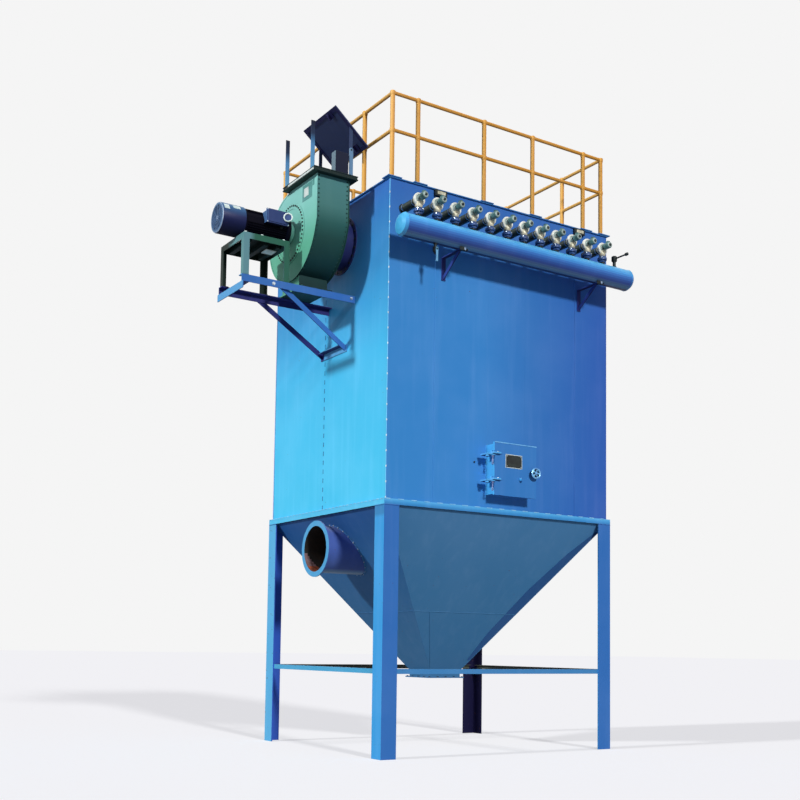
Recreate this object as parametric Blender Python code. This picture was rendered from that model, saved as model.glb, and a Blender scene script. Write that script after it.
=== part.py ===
"""Baghouse dust collector: legs, hopper, filter housing, pulse header, door, side fan and railing.

Metres, +Z up. X runs along the long side of the housing, and the front, with the header and the
door, faces -Y. The model is built around the middle of the housing at floor level, and then the
empty that carries it is moved so that the origin lies under the middle of the whole machine.
"""
import math

import bmesh
import bpy
from mathutils import Matrix, Vector

# Running gap between pieces that touch.
GAP = 0.0003

# Filter housing.
BODY_WIDTH = 3.00
BODY_DEPTH = 2.54
BODY_HEIGHT = 3.35
SHEET = 0.006
ROOF_SHEET = 0.010
ROOF_OVERHANG = 0.020

# Frame between housing and hopper, and the legs under it.
FRAME_HEIGHT = 0.060
FRAME_PROUD = 0.035
FRAME_INWARD = 0.060
LEG_HEIGHT = 2.56
LEG_SIZE = 0.180
LEG_THICKNESS = 0.014
BRACE_HEIGHT = 0.900
BRACE_SIZE = 0.050
BRACE_THICKNESS = 0.006
BRACE_INSET = 0.095

# Hopper, its outlet and the dusty air inlet.
HOPPER_BOTTOM = 0.865
HOPPER_OUTLET = 0.420
HOPPER_NECK = 0.090
HOPPER_FLANGE_WIDTH = 0.035
HOPPER_FLANGE_THICKNESS = 0.012
INLET_RADIUS = 0.260
INLET_SHEET = 0.008
INLET_DROP = 0.375
INLET_REACH = 0.110
INLET_RING_WIDTH = 0.050
INLET_RING_THICKNESS = 0.014

# Railing on the roof. Posts stand at these shares of their side.
RAILING_HEIGHT = 0.950
RAILING_INSET = 0.045
POST_RADIUS = 0.025
RAIL_RADIUS = 0.019
MID_RAIL_HEIGHT = 0.530
FRONT_POSTS = (0.110, 0.410, 0.645, 0.905)
SIDE_POSTS = (0.230, 0.470, 0.720)
BACK_POSTS = (0.330, 0.660)
RIGHT_POSTS = (0.280, 0.730)

# Compressed air header and its brackets.
TANK_RADIUS = 0.118
TANK_REACH = 0.300
TANK_DROP = 0.605
TANK_OVERHANG = 0.080
TANK_DISH = 0.045
TANK_BRACKETS = (0.240, 0.840)
BRACKET_BAR = 0.050
BRACKET_PLATE = 0.010
BRACKET_STRUT = 0.040
BRACKET_FALL = 0.250

# Pulse valves on the header.
VALVE_COUNT = 12
FIRST_VALVE_MARGIN = 0.240
LAST_VALVE_MARGIN = 0.417
VALVE_RISE = 0.180
VALVE_RADIUS = 0.064
VALVE_DEPTH = 0.060
VALVE_EDGE = 0.011
VALVE_SHOULDER = 0.020
VALVE_BACK_RADIUS = 0.045
VALVE_FRONT_RADIUS = 0.048
VALVE_NECK_RADIUS = 0.030
BLOW_PIPE_RADIUS = 0.026
PILOT_RADIUS = 0.027
PILOT_LENGTH = 0.085

# Drain under the header and supply valve on its right end.
DRAIN_OFFSET = 0.450
DRAIN_LENGTH = 0.110
DRAIN_PIPE_RADIUS = 0.014
DRAIN_BALL_RADIUS = 0.026
DRAIN_BALL_LENGTH = 0.056
DRAIN_BALL_RISE = 0.020
DRAIN_HANDLE_LENGTH = 0.160
DRAIN_HANDLE_WIDTH = 0.030
DRAIN_HANDLE_THICKNESS = 0.010
SUPPLY_OFFSET = 0.230
SUPPLY_RISE = 0.130
SUPPLY_PIPE_RADIUS = 0.018
SUPPLY_BODY_RADIUS = 0.030
SUPPLY_BODY_LENGTH = 0.060
SUPPLY_LEVER = 0.200
SUPPLY_LEVER_RADIUS = 0.009
SUPPLY_KNOB_RADIUS = 0.018
SUPPLY_KNOB_LENGTH = 0.040

# Inspection door in the front wall.
DOOR_WIDTH = 0.570
DOOR_HEIGHT = 0.570
DOOR_CENTRE_X = 0.035
DOOR_SILL = 0.125
DOOR_FRAME_DEPTH = 0.140
DOOR_FRAME_SHEET = 0.012
DOOR_FRAME_INSET = 0.016
DOOR_COVER = 0.026
DOOR_SEAT_GAP = 0.006
HINGE_OFFSET = 0.030
HINGE_HEIGHTS = (0.160, 0.440)
HINGE_KNUCKLE = 0.034
HINGE_RADIUS = 0.014
HINGE_PIN_RADIUS = 0.007
PIN_CLEARANCE = 0.0005
STRAP_LENGTH = 0.130
STRAP_THICKNESS = 0.008
STRAP_BITE = 0.010
STRAP_INSET = 0.002
KNOB_X = 0.350
KNOB_Z = 0.190
KNOB_RADIUS = 0.018
KNOB_LENGTH = 0.040

# Handwheel on the door.
WHEEL_INSET = 0.045
WHEEL_Z = 0.270
WHEEL_RADIUS = 0.062
WHEEL_RIM = 0.008
WHEEL_SPOKES = 4
SPINDLE_RADIUS = 0.009
SPINDLE_LENGTH = 0.060
SPINDLE_STOP = 0.006
SPINDLE_ROOM = 0.002
HUB_RADIUS = 0.018
HUB_LENGTH = 0.024
HUB_PROUD = 0.004
NUT_THICKNESS = 0.012
SPOKE_START = 0.0135

# Induced draught fan on the left wall.
FAN_DROP = 0.455
FAN_Y = -0.300
FAN_WIDTH = 0.380
FAN_TO_WALL = 0.270
SCROLL_OUTLET_RADIUS = 0.590
SCROLL_CUTOFF_RADIUS = 0.450
SCROLL_EASE = 0.600
OUTLET_DEPTH = 0.580
OUTLET_RISE = 0.485
OUTLET_RECESS = 0.410
CASING_SHEET = 0.010
OUTLET_FLANGE_WIDTH = 0.070
OUTLET_FLANGE_THICKNESS = 0.028
DUCT_RADIUS = 0.260
FAN_FOOT_WIDTH = 0.380
FAN_FOOT_PLATE = 0.014

# Rain cap over the fan outlet, its posts and the hinge block on the flange.
CAP_POST_WIDTH = 0.045
CAP_POST_THICKNESS = 0.010
CAP_POST_INSET = 0.018
EYE_POST_INSET = 0.056
TALL_POST = 0.530
TALL_POST_INSET = 0.120
SHORT_POST = 0.300
CAP_TILT = math.radians(40)
CAP_LENGTH = 0.530
CAP_MARGIN = 0.010
CAP_SHEET = 0.010
CAP_RISE = 0.530
CAP_SHIFT = 0.180
CAP_BLOCK = (0.155, 0.084, 0.220)
CAP_BLOCK_PLACE = 0.245

# Motor and its stand.
MOTOR_RADIUS = 0.165
MOTOR_BODY_RADIUS = 0.152
MOTOR_LENGTH = 0.800
COVER_RADIUS = 0.160
COVER_LENGTH = 0.260
COVER_EDGE = 0.014
SHIELD_LENGTH = 0.056
SHIELD_NOSE = 0.020
SHIELD_NOSE_RADIUS = 0.100
SHAFT_RADIUS = 0.028
SHAFT_LENGTH = 0.045
SHAFT_HEIGHT = 0.195
MOTOR_FOOT = 0.250
MOTOR_FOOT_THICKNESS = 0.022
MOTOR_FOOT_MARGIN = 0.060
MOTOR_WEB = 0.166
TERMINAL_BOX = (0.210, 0.070, 0.150)
TERMINAL_BOX_MARGIN = 0.070
TERMINAL_BOX_RISE = -0.010
STAND_SIZE = 0.063
STAND_THICKNESS = 0.008
STAND_LENGTH = 0.520
STAND_CLEARANCE = 0.100
STAND_LEDGE = 0.040

# Bracket that carries the fan and the motor.
BEAM_SIZE = 0.075
BEAM_THICKNESS = 0.008
BEAM_SPACING = 0.500
BEAM_REACH = 1.330
BEAM_DROP = 0.635
STRUT_FALL = 0.530
STRUT_OUT = 0.950
STRUT_WIDTH = 0.060
STRUT_SKEW = 0.150
TIE_MARGIN = 0.010

ROUND = 32
SMALL_ROUND = 14
RIM_SIDES = 8
SCROLL_STEPS = 40

# Places that follow from the sizes above.
HALF_WIDTH = BODY_WIDTH / 2
HALF_DEPTH = BODY_DEPTH / 2
BODY_BASE = LEG_HEIGHT + FRAME_HEIGHT
ROOF = BODY_BASE + BODY_HEIGHT
WALL_TOP = ROOF - ROOF_SHEET - GAP
HOPPER_TOP = LEG_HEIGHT - GAP
INLET_Z = LEG_HEIGHT - INLET_DROP
INLET_X = -HALF_WIDTH - INLET_REACH
TANK_Y = -HALF_DEPTH - TANK_REACH
TANK_Z = ROOF - TANK_DROP
TANK_HALF = HALF_WIDTH + TANK_OVERHANG
VALVE_PITCH = (2 * TANK_HALF - FIRST_VALVE_MARGIN - LAST_VALVE_MARGIN) / (VALVE_COUNT - 1)
VALVE_Z = TANK_Z + TANK_RADIUS + VALVE_RISE
FAN_Z = ROOF - FAN_DROP
FAN_INNER_X = -HALF_WIDTH - FAN_TO_WALL
FAN_OUTER_X = FAN_INNER_X - FAN_WIDTH
OUTLET_NEAR_Y = FAN_Y - SCROLL_OUTLET_RADIUS
OUTLET_FAR_Y = OUTLET_NEAR_Y + OUTLET_DEPTH
OUTLET_Z = FAN_Z + OUTLET_RISE
BEAM_TOP = FAN_Z - BEAM_DROP
STAND_TOP = FAN_Z - SHAFT_HEIGHT
MOTOR_OUTER_X = FAN_OUTER_X - SHAFT_LENGTH - MOTOR_LENGTH
DOOR_LEFT = DOOR_CENTRE_X - DOOR_WIDTH / 2
DOOR_RIGHT = DOOR_CENTRE_X + DOOR_WIDTH / 2
DOOR_BOTTOM = BODY_BASE + DOOR_SILL
DOOR_TOP = DOOR_BOTTOM + DOOR_HEIGHT
DOOR_FRAME_FRONT = -HALF_DEPTH - GAP - DOOR_FRAME_DEPTH
DOOR_BACK = DOOR_FRAME_FRONT - DOOR_SEAT_GAP
DOOR_FRONT = DOOR_BACK - DOOR_COVER
HINGE_X = DOOR_LEFT - HINGE_OFFSET
HINGE_Y = (DOOR_BACK + DOOR_FRONT) / 2


def clear_scene():
    """Remove every object that the file opened with."""
    for item in list(bpy.data.objects):
        bpy.data.objects.remove(item, do_unlink=True)


def linear(hexadecimal):
    """Linear RGBA of an sRGB colour written as hex digits."""
    channels = [int(hexadecimal[i:i + 2], 16) / 255 for i in (0, 2, 4)]
    straight = [c / 12.92 if c <= 0.04045 else ((c + 0.055) / 1.055) ** 2.4 for c in channels]
    return (*straight, 1.0)


def paint(name, colour, roughness=0.45, metallic=0.0):
    """A plain Principled material."""
    material = bpy.data.materials.new(name)
    material.use_nodes = True
    shader = material.node_tree.nodes["Principled BSDF"]
    shader.inputs["Base Color"].default_value = linear(colour)
    shader.inputs["Roughness"].default_value = roughness
    shader.inputs["Metallic"].default_value = metallic
    return material


def mesh_of(shape):
    """A mesh with outward faces from a finished bmesh."""
    bmesh.ops.recalc_face_normals(shape, faces=shape.faces)
    mesh = bpy.data.meshes.new("shape")
    shape.to_mesh(mesh)
    shape.free()
    return mesh


def prism(outline, length, frame):
    """A flat outline in the frame's XY plane, drawn out along its Z."""
    shape = bmesh.new()
    low = [shape.verts.new(frame @ Vector((x, y, 0))) for x, y in outline]
    high = [shape.verts.new(frame @ Vector((x, y, length))) for x, y in outline]
    shape.faces.new(low[::-1])
    shape.faces.new(high)
    for i, start in enumerate(low):
        after = (i + 1) % len(low)
        shape.faces.new((start, low[after], high[after], high[i]))
    return mesh_of(shape)


def frame_at(origin, x_axis, y_axis):
    """A frame from its origin and two of its axes."""
    x_axis = Vector(x_axis).normalized()
    y_axis = Vector(y_axis).normalized()
    frame = Matrix((x_axis, y_axis, x_axis.cross(y_axis))).transposed().to_4x4()
    frame.translation = Vector(origin)
    return frame


def along_x(x, y, z):
    """A frame whose Z runs along +X and whose X runs along +Y."""
    return frame_at((x, y, z), (0, 1, 0), (0, 0, 1))


def along_y(x, y, z):
    """A frame whose Z runs along +Y and whose X runs along +Z."""
    return frame_at((x, y, z), (0, 0, 1), (1, 0, 0))


def along_z(x, y, z):
    """A frame that is only moved."""
    return Matrix.Translation((x, y, z))


def box(low, high):
    """A box from its two corners."""
    outline = ((low[0], low[1]), (high[0], low[1]), (high[0], high[1]), (low[0], high[1]))
    return prism(outline, high[2] - low[2], along_z(0, 0, low[2]))


def turned(profile, frame, segments=ROUND, closed=False):
    """A profile of (height, radius) points turned about the frame's Z.

    An open profile is capped flat at both ends, or closes in a pole where its radius is 0. A
    closed one is a ring's section.
    """
    shape = bmesh.new()
    rings = []
    for height, radius in profile:
        if radius == 0:
            rings.append([shape.verts.new(frame @ Vector((0, 0, height)))])
            continue
        ring = []
        for i in range(segments):
            angle = 2 * math.pi * i / segments
            point = Vector((radius * math.cos(angle), radius * math.sin(angle), height))
            ring.append(shape.verts.new(frame @ point))
        rings.append(ring)
    pairs = list(zip(rings, rings[1:]))
    if closed:
        pairs.append((rings[-1], rings[0]))
    for lower, upper in pairs:
        for i in range(segments):
            corners = (lower[i % len(lower)], lower[(i + 1) % len(lower)],
                       upper[(i + 1) % len(upper)], upper[i % len(upper)])
            shape.faces.new(list(dict.fromkeys(corners)))
    if not closed:
        for ring in (rings[0], rings[-1]):
            if len(ring) > 1:
                shape.faces.new(ring)
    return mesh_of(shape)


def cylinder(radius, length, frame, segments=ROUND):
    """A plain round bar."""
    return turned(((0, radius), (length, radius)), frame, segments)


def pin(radius, length, frame):
    """A small round bar, with few sides."""
    return cylinder(radius, length, frame, SMALL_ROUND)


def pipe(outer, inner, length, frame, segments=ROUND):
    """A round tube, open at both ends."""
    section = ((0, inner), (0, outer), (length, outer), (length, inner))
    return turned(section, frame, segments, closed=True)


def frustum(low_x, low_y, low_z, high_x, high_y, high_z):
    """A four-sided taper, given by half sizes at two heights."""
    shape = bmesh.new()
    signs = ((-1, -1), (1, -1), (1, 1), (-1, 1))
    low = [shape.verts.new((sx * low_x, sy * low_y, low_z)) for sx, sy in signs]
    high = [shape.verts.new((sx * high_x, sy * high_y, high_z)) for sx, sy in signs]
    shape.faces.new(low[::-1])
    shape.faces.new(high)
    for i in range(4):
        after = (i + 1) % 4
        shape.faces.new((low[i], low[after], high[after], high[i]))
    return mesh_of(shape)


def angle_section(size, thickness):
    """The outline of an equal angle with its outer corner at the origin."""
    return ((0, 0), (size, 0), (size, thickness), (thickness, thickness), (thickness, size),
            (0, size))


def combine(base, others, operation):
    """One mesh from a base mesh and others, by Boolean modifiers."""
    holder = bpy.data.objects.new("holder", base)
    bpy.context.scene.collection.objects.link(holder)
    tools = []
    for mesh in others:
        tool = bpy.data.objects.new("tool", mesh)
        bpy.context.scene.collection.objects.link(tool)
        tools.append(tool)
        modifier = holder.modifiers.new("boolean", "BOOLEAN")
        modifier.operation = operation
        modifier.solver = "EXACT"
        modifier.object = tool
    view = bpy.context.evaluated_depsgraph_get()
    result = bpy.data.meshes.new_from_object(holder.evaluated_get(view))
    for item in (holder, *tools):
        bpy.data.objects.remove(item, do_unlink=True)
    return result


def fused(*meshes):
    """The union of meshes that cross each other."""
    return combine(meshes[0], meshes[1:], "UNION")


def cut(base, *cutters):
    """A mesh less the cutters."""
    return combine(base, cutters, "DIFFERENCE")


def trimmed(base, low, high):
    """The part of a mesh that lies inside a box, given by its two corners."""
    return combine(base, [box(low, high)], "INTERSECT")


def sloping_bar(foot, head, width, thickness):
    """A flat bar on edge from foot to head, with its thickness in the horizontal."""
    run = head - foot
    side = run.cross(Vector((0, 0, 1))).normalized()
    frame = frame_at(foot - side * thickness / 2, run, side.cross(run))
    half = width / 2
    outline = ((0, -half), (run.length, -half), (run.length, half), (0, half))
    return prism(outline, thickness, frame)


def rectangle_ring(outer, inner, low, high):
    """A rectangular frame from two (x low, y low, x high, y high) outlines and two heights."""
    body = box((outer[0], outer[1], low), (outer[2], outer[3], high))
    margin = high - low
    hole = box((inner[0], inner[1], low - margin), (inner[2], inner[3], high + margin))
    return cut(body, hole)


class Machine:
    """The empty that carries the pieces, and the pieces' names."""

    def __init__(self):
        self.base = bpy.data.objects.new("dust_collector", None)
        bpy.context.scene.collection.objects.link(self.base)
        self.pieces = []

    def add(self, name, mesh, material, origin=(0, 0, 0), parent=None):
        """Make a named object whose own origin is at the point given.

        A mesh that another piece has already taken is shared with it as it is.
        """
        if mesh.users == 0:
            mesh.transform(Matrix.Translation(-Vector(origin)))
            mesh.name = name
            mesh.materials.clear()
            mesh.materials.append(material)
            mesh.shade_smooth()
            mesh.set_sharp_from_angle(angle=math.radians(35))
        piece = bpy.data.objects.new(name, mesh)
        bpy.context.scene.collection.objects.link(piece)
        piece.parent = parent or self.base
        piece.location = Vector(origin) - (Vector(parent.location) if parent else Vector())
        self.pieces.append(piece)
        return piece

    def centre(self):
        """Move the carrying empty so that the origin is under the middle of the machine."""
        bpy.context.view_layer.update()
        corners = [piece.matrix_world @ vertex.co for piece in self.pieces
                   for vertex in piece.data.vertices]
        middle_x = (min(c.x for c in corners) + max(c.x for c in corners)) / 2
        middle_y = (min(c.y for c in corners) + max(c.y for c in corners)) / 2
        self.base.location = (-middle_x, -middle_y, 0)
        bpy.context.view_layer.update()


def build_legs(machine, blue):
    """Four angle legs and the angle braces between them."""
    reach_x = HALF_WIDTH + FRAME_PROUD
    reach_y = HALF_DEPTH + FRAME_PROUD
    section = angle_section(LEG_SIZE, LEG_THICKNESS)
    for name, side_x, side_y in (("leg_front_left", -1, -1), ("leg_front_right", 1, -1),
                                 ("leg_back_left", -1, 1), ("leg_back_right", 1, 1)):
        outline = [(side_x * (reach_x - u), side_y * (reach_y - v)) for u, v in section]
        leg = prism(outline, LEG_HEIGHT - GAP, along_z(0, 0, 0))
        machine.add(name, leg, blue)

    inner_x = reach_x - LEG_THICKNESS - GAP
    inner_y = reach_y - LEG_THICKNESS - GAP
    section = angle_section(BRACE_SIZE, BRACE_THICKNESS)
    for name, side in (("brace_front", -1), ("brace_back", 1)):
        outline = [(side * (inner_y - u), BRACE_HEIGHT - v) for u, v in section]
        half = reach_x - BRACE_INSET
        brace = prism(outline, 2 * half, along_x(-half, 0, 0))
        machine.add(name, brace, blue)
    for name, side in (("brace_left", -1), ("brace_right", 1)):
        outline = [(BRACE_HEIGHT - v, side * (inner_x - u)) for u, v in section]
        half = reach_y - BRACE_INSET
        brace = prism(outline, 2 * half, along_y(0, -half, 0))
        machine.add(name, brace, blue)


def build_hopper(machine, blue):
    """The frame under the walls, the hopper shell, its outlet and the inlet pipe."""
    outer = (HALF_WIDTH + FRAME_PROUD, HALF_DEPTH + FRAME_PROUD)
    inner = (HALF_WIDTH - FRAME_INWARD, HALF_DEPTH - FRAME_INWARD)
    ring = rectangle_ring((-outer[0], -outer[1], *outer), (-inner[0], -inner[1], *inner),
                          LEG_HEIGHT, BODY_BASE - GAP)
    machine.add("base_frame", ring, blue)

    half = HOPPER_OUTLET / 2
    shell = frustum(half, half, HOPPER_BOTTOM, HALF_WIDTH, HALF_DEPTH, HOPPER_TOP)
    hole = cylinder(INLET_RADIUS + GAP, HALF_WIDTH, along_x(INLET_X, 0, INLET_Z))
    machine.add("hopper", cut(shell, hopper_hollow(), hole), blue)

    neck = half + HOPPER_FLANGE_WIDTH
    throat = half - SHEET
    top = HOPPER_BOTTOM - GAP
    bottom = top - HOPPER_NECK
    collar = box((-half, -half, bottom), (half, half, top))
    plate = box((-neck, -neck, bottom), (neck, neck, bottom + HOPPER_FLANGE_THICKNESS))
    way = box((-throat, -throat, bottom - SHEET), (throat, throat, top + SHEET))
    machine.add("hopper_outlet", cut(fused(collar, plate), way), blue)

    reach = HALF_WIDTH + INLET_REACH - half
    bore = INLET_RADIUS - INLET_SHEET
    rim = INLET_RADIUS + INLET_RING_WIDTH
    section = ((0, bore), (0, rim), (INLET_RING_THICKNESS, rim),
               (INLET_RING_THICKNESS, INLET_RADIUS), (reach, INLET_RADIUS), (reach, bore))
    tube = turned(section, along_x(INLET_X, 0, INLET_Z), closed=True)
    machine.add("inlet_pipe", cut(tube, hopper_hollow()), blue)


def hopper_hollow():
    """The space inside the hopper, drawn on through its top and bottom."""
    half = HOPPER_OUTLET / 2
    slope_x = (HALF_WIDTH - half) / (HOPPER_TOP - HOPPER_BOTTOM)
    slope_y = (HALF_DEPTH - half) / (HOPPER_TOP - HOPPER_BOTTOM)
    inset_x = SHEET * math.hypot(1, slope_x)
    inset_y = SHEET * math.hypot(1, slope_y)
    over = SHEET
    return frustum(half - inset_x - over * slope_x, half - inset_y - over * slope_y,
                   HOPPER_BOTTOM - over,
                   HALF_WIDTH - inset_x + over * slope_x, HALF_DEPTH - inset_y + over * slope_y,
                   HOPPER_TOP + over)


def build_walls(machine, blue):
    """The housing's walls and roof, with the doorway and the hole for the fan's duct."""
    low = BODY_BASE
    side_y = HALF_DEPTH - SHEET - GAP
    left = box((-HALF_WIDTH, -side_y, low), (-HALF_WIDTH + SHEET, side_y, WALL_TOP))
    hole = cylinder(DUCT_RADIUS + GAP, 2 * FAN_TO_WALL, along_x(FAN_INNER_X, FAN_Y, FAN_Z))
    machine.add("left_wall", cut(left, hole), blue)
    machine.add("right_wall", box((HALF_WIDTH - SHEET, -side_y, low),
                                  (HALF_WIDTH, side_y, WALL_TOP)), blue)
    machine.add("back_wall", box((-HALF_WIDTH, HALF_DEPTH - SHEET, low),
                                 (HALF_WIDTH, HALF_DEPTH, WALL_TOP)), blue)

    inset = DOOR_FRAME_INSET + DOOR_FRAME_SHEET
    left_x, right_x = DOOR_LEFT + inset, DOOR_RIGHT - inset
    low_z, high_z = DOOR_BOTTOM + inset, DOOR_TOP - inset
    front, back = -HALF_DEPTH, -HALF_DEPTH + SHEET
    for name, start, end in (
            ("front_wall_left", (-HALF_WIDTH, low), (left_x, WALL_TOP)),
            ("front_wall_right", (right_x, low), (HALF_WIDTH, WALL_TOP)),
            ("front_wall_under_door", (left_x + GAP, low), (right_x - GAP, low_z)),
            ("front_wall_over_door", (left_x + GAP, high_z), (right_x - GAP, WALL_TOP))):
        panel = box((start[0], front, start[1]), (end[0], back, end[1]))
        machine.add(name, panel, blue)

    edge_x = HALF_WIDTH + ROOF_OVERHANG
    edge_y = HALF_DEPTH + ROOF_OVERHANG
    machine.add("roof", box((-edge_x, -edge_y, ROOF - ROOF_SHEET), (edge_x, edge_y, ROOF)), blue)


def build_railing(machine, yellow):
    """Post and rail panels along the four edges of the roof."""
    low = ROOF + GAP
    top_rail = low + RAILING_HEIGHT - RAIL_RADIUS
    rails = (top_rail, low + MID_RAIL_HEIGHT)
    half_x = HALF_WIDTH - RAILING_INSET
    half_y = HALF_DEPTH - RAILING_INSET

    def post(x, y):
        return pin(POST_RADIUS, RAILING_HEIGHT, along_z(x, y, low))

    for name, y, shares in (("railing_front", -half_y, FRONT_POSTS),
                            ("railing_back", half_y, BACK_POSTS)):
        places = [-half_x, half_x] + [-half_x + 2 * half_x * share for share in shares]
        bars = [pin(RAIL_RADIUS, 2 * half_x, along_x(-half_x, y, z)) for z in rails]
        machine.add(name, fused(*[post(x, y) for x in places], *bars), yellow)
    reach = half_y - POST_RADIUS - GAP
    for name, x, shares in (("railing_left", -half_x, SIDE_POSTS),
                            ("railing_right", half_x, RIGHT_POSTS)):
        places = [-half_y + 2 * half_y * share for share in shares]
        bars = [pin(RAIL_RADIUS, 2 * reach, along_y(x, -reach, z)) for z in rails]
        machine.add(name, fused(*[post(x, y) for y in places], *bars), yellow)


def build_header(machine, blue, cream, pale_blue):
    """The air header along the front, its brackets, pulse valves, drain and supply."""
    dish = [(TANK_DISH * (1 - math.cos(a)), TANK_RADIUS * math.sin(a))
            for a in (0, math.radians(30), math.radians(60), math.radians(90))]
    far = [(2 * TANK_HALF - height, radius) for height, radius in reversed(dish)]
    tank = turned(dish + far, along_x(-TANK_HALF, TANK_Y, TANK_Z))
    machine.add("air_header", tank, blue)

    for name, share in zip(("header_bracket_left", "header_bracket_right"), TANK_BRACKETS):
        machine.add(name, header_bracket(-TANK_HALF + 2 * TANK_HALF * share), blue)

    valve = pulse_valve()
    for i in range(VALVE_COUNT):
        piece = machine.add(f"pulse_valve_{i + 1:02d}", valve, cream)
        piece.location = (-TANK_HALF + FIRST_VALVE_MARGIN + i * VALVE_PITCH, TANK_Y, VALVE_Z)

    machine.add("header_drain", header_drain(), pale_blue)
    machine.add("header_supply", header_supply(), pale_blue)


def header_bracket(x):
    """An arm under the header, with a strut back to the wall."""
    wall = -HALF_DEPTH - GAP
    under = TANK_Z - TANK_RADIUS - GAP
    low = under - BRACKET_FALL
    side = BRACKET_BAR / 2
    half_plate = BRACKET_PLATE / 2
    arm = box((x - side, TANK_Y - TANK_RADIUS / 2, under - BRACKET_PLATE), (x + side, wall, under))
    back = box((x - side, wall - BRACKET_PLATE, low), (x + side, wall, under))
    bar = sloping_bar(Vector((x, wall, low + side)), Vector((x, TANK_Y, under)),
                      BRACKET_STRUT, BRACKET_PLATE)
    bar = trimmed(bar, (x - side, TANK_Y - TANK_RADIUS / 2, low),
                  (x + side, wall - half_plate, under - half_plate))
    return fused(arm, back, bar)


def pulse_valve():
    """A right-angle valve: neck from the header, blow pipe to the wall, pilot in front."""
    back = TANK_REACH - GAP
    body = VALVE_DEPTH / 2
    profile = [(back, BLOW_PIPE_RADIUS), (body + VALVE_SHOULDER, BLOW_PIPE_RADIUS),
               (body, VALVE_BACK_RADIUS), (body - VALVE_EDGE, VALVE_RADIUS),
               (VALVE_EDGE - body, VALVE_RADIUS), (-body, VALVE_FRONT_RADIUS),
               (-body, PILOT_RADIUS), (-body - PILOT_LENGTH, PILOT_RADIUS)]
    barrel = turned(profile, along_y(0, 0, 0), SMALL_ROUND)
    neck = pin(VALVE_NECK_RADIUS, VALVE_RISE - GAP, along_z(0, 0, -VALVE_RISE + GAP))
    return fused(barrel, neck)


def header_drain():
    """A short pipe under the header with a ball valve, whose flat handle hangs down."""
    x = -TANK_HALF + DRAIN_OFFSET
    low = TANK_Z - TANK_RADIUS - GAP - DRAIN_LENGTH
    stem = pin(DRAIN_PIPE_RADIUS, DRAIN_LENGTH, along_z(x, TANK_Y, low))
    ball = pin(DRAIN_BALL_RADIUS, DRAIN_BALL_LENGTH, along_z(x, TANK_Y, low + DRAIN_BALL_RISE))
    middle = low + DRAIN_BALL_RISE + DRAIN_BALL_LENGTH / 2
    half = DRAIN_HANDLE_WIDTH / 2
    front = TANK_Y - DRAIN_BALL_RADIUS - DRAIN_HANDLE_THICKNESS
    stub = box((x - half, front, middle - half), (x + half, TANK_Y, middle + half))
    handle = box((x - half, front, middle + half - DRAIN_HANDLE_LENGTH),
                 (x + half, front + DRAIN_HANDLE_THICKNESS, middle + half))
    return fused(stem, ball, stub, handle)


def header_supply():
    """The supply valve on the header, with a lever that points forwards."""
    x = TANK_HALF - SUPPLY_OFFSET
    low = TANK_Z + TANK_RADIUS + GAP
    top = low + SUPPLY_RISE
    middle = top - SUPPLY_BODY_LENGTH / 2
    end = TANK_Y - SUPPLY_LEVER
    stem = pin(SUPPLY_PIPE_RADIUS, SUPPLY_RISE, along_z(x, TANK_Y, low))
    body = pin(SUPPLY_BODY_RADIUS, SUPPLY_BODY_LENGTH, along_z(x, TANK_Y, top - SUPPLY_BODY_LENGTH))
    lever = pin(SUPPLY_LEVER_RADIUS, SUPPLY_LEVER, along_y(x, end, middle))
    knob = pin(SUPPLY_KNOB_RADIUS, SUPPLY_KNOB_LENGTH, along_y(x, end - SUPPLY_KNOB_LENGTH / 2, middle))
    return fused(stem, body, lever, knob)


def build_door(machine, blue, steel):
    """The frame round the doorway, the hinged cover and its handwheel."""
    machine.add("door_frame", door_frame(), blue)

    wheel_x = DOOR_RIGHT - WHEEL_INSET
    wheel_z = DOOR_BOTTOM + WHEEL_Z
    plate = box((DOOR_LEFT, DOOR_FRONT, DOOR_BOTTOM), (DOOR_RIGHT, DOOR_BACK, DOOR_TOP))
    knob = pin(KNOB_RADIUS, KNOB_LENGTH + STRAP_BITE,
               along_y(DOOR_LEFT + KNOB_X, DOOR_FRONT - KNOB_LENGTH, DOOR_BOTTOM + KNOB_Z))
    pieces = [plate, knob]
    depth = DOOR_COVER - SPINDLE_STOP + SPINDLE_ROOM
    holes = [pin(SPINDLE_RADIUS + PIN_CLEARANCE, SPINDLE_LENGTH + depth,
                 along_y(wheel_x, DOOR_FRONT - SPINDLE_LENGTH, wheel_z))]
    strap_x = HINGE_X + (HINGE_PIN_RADIUS + HINGE_RADIUS) / 2
    for height in HINGE_HEIGHTS:
        z = DOOR_BOTTOM + height
        pieces.append(box((strap_x, DOOR_FRONT - STRAP_THICKNESS, z + STRAP_INSET),
                          (HINGE_X + STRAP_LENGTH, DOOR_FRONT + STRAP_BITE,
                           z + HINGE_KNUCKLE - STRAP_INSET)))
        pieces.append(pin(HINGE_RADIUS, HINGE_KNUCKLE, along_z(HINGE_X, HINGE_Y, z)))
        holes.append(pin(HINGE_PIN_RADIUS + PIN_CLEARANCE, 3 * HINGE_KNUCKLE,
                         along_z(HINGE_X, HINGE_Y, z - HINGE_KNUCKLE)))
    hinge = (HINGE_X, HINGE_Y, DOOR_BOTTOM)
    door = machine.add("door", cut(fused(*pieces), *holes), blue, hinge)

    machine.add("door_handwheel", handwheel(wheel_x, wheel_z), steel,
                (wheel_x, DOOR_FRONT, wheel_z), door)


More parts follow.
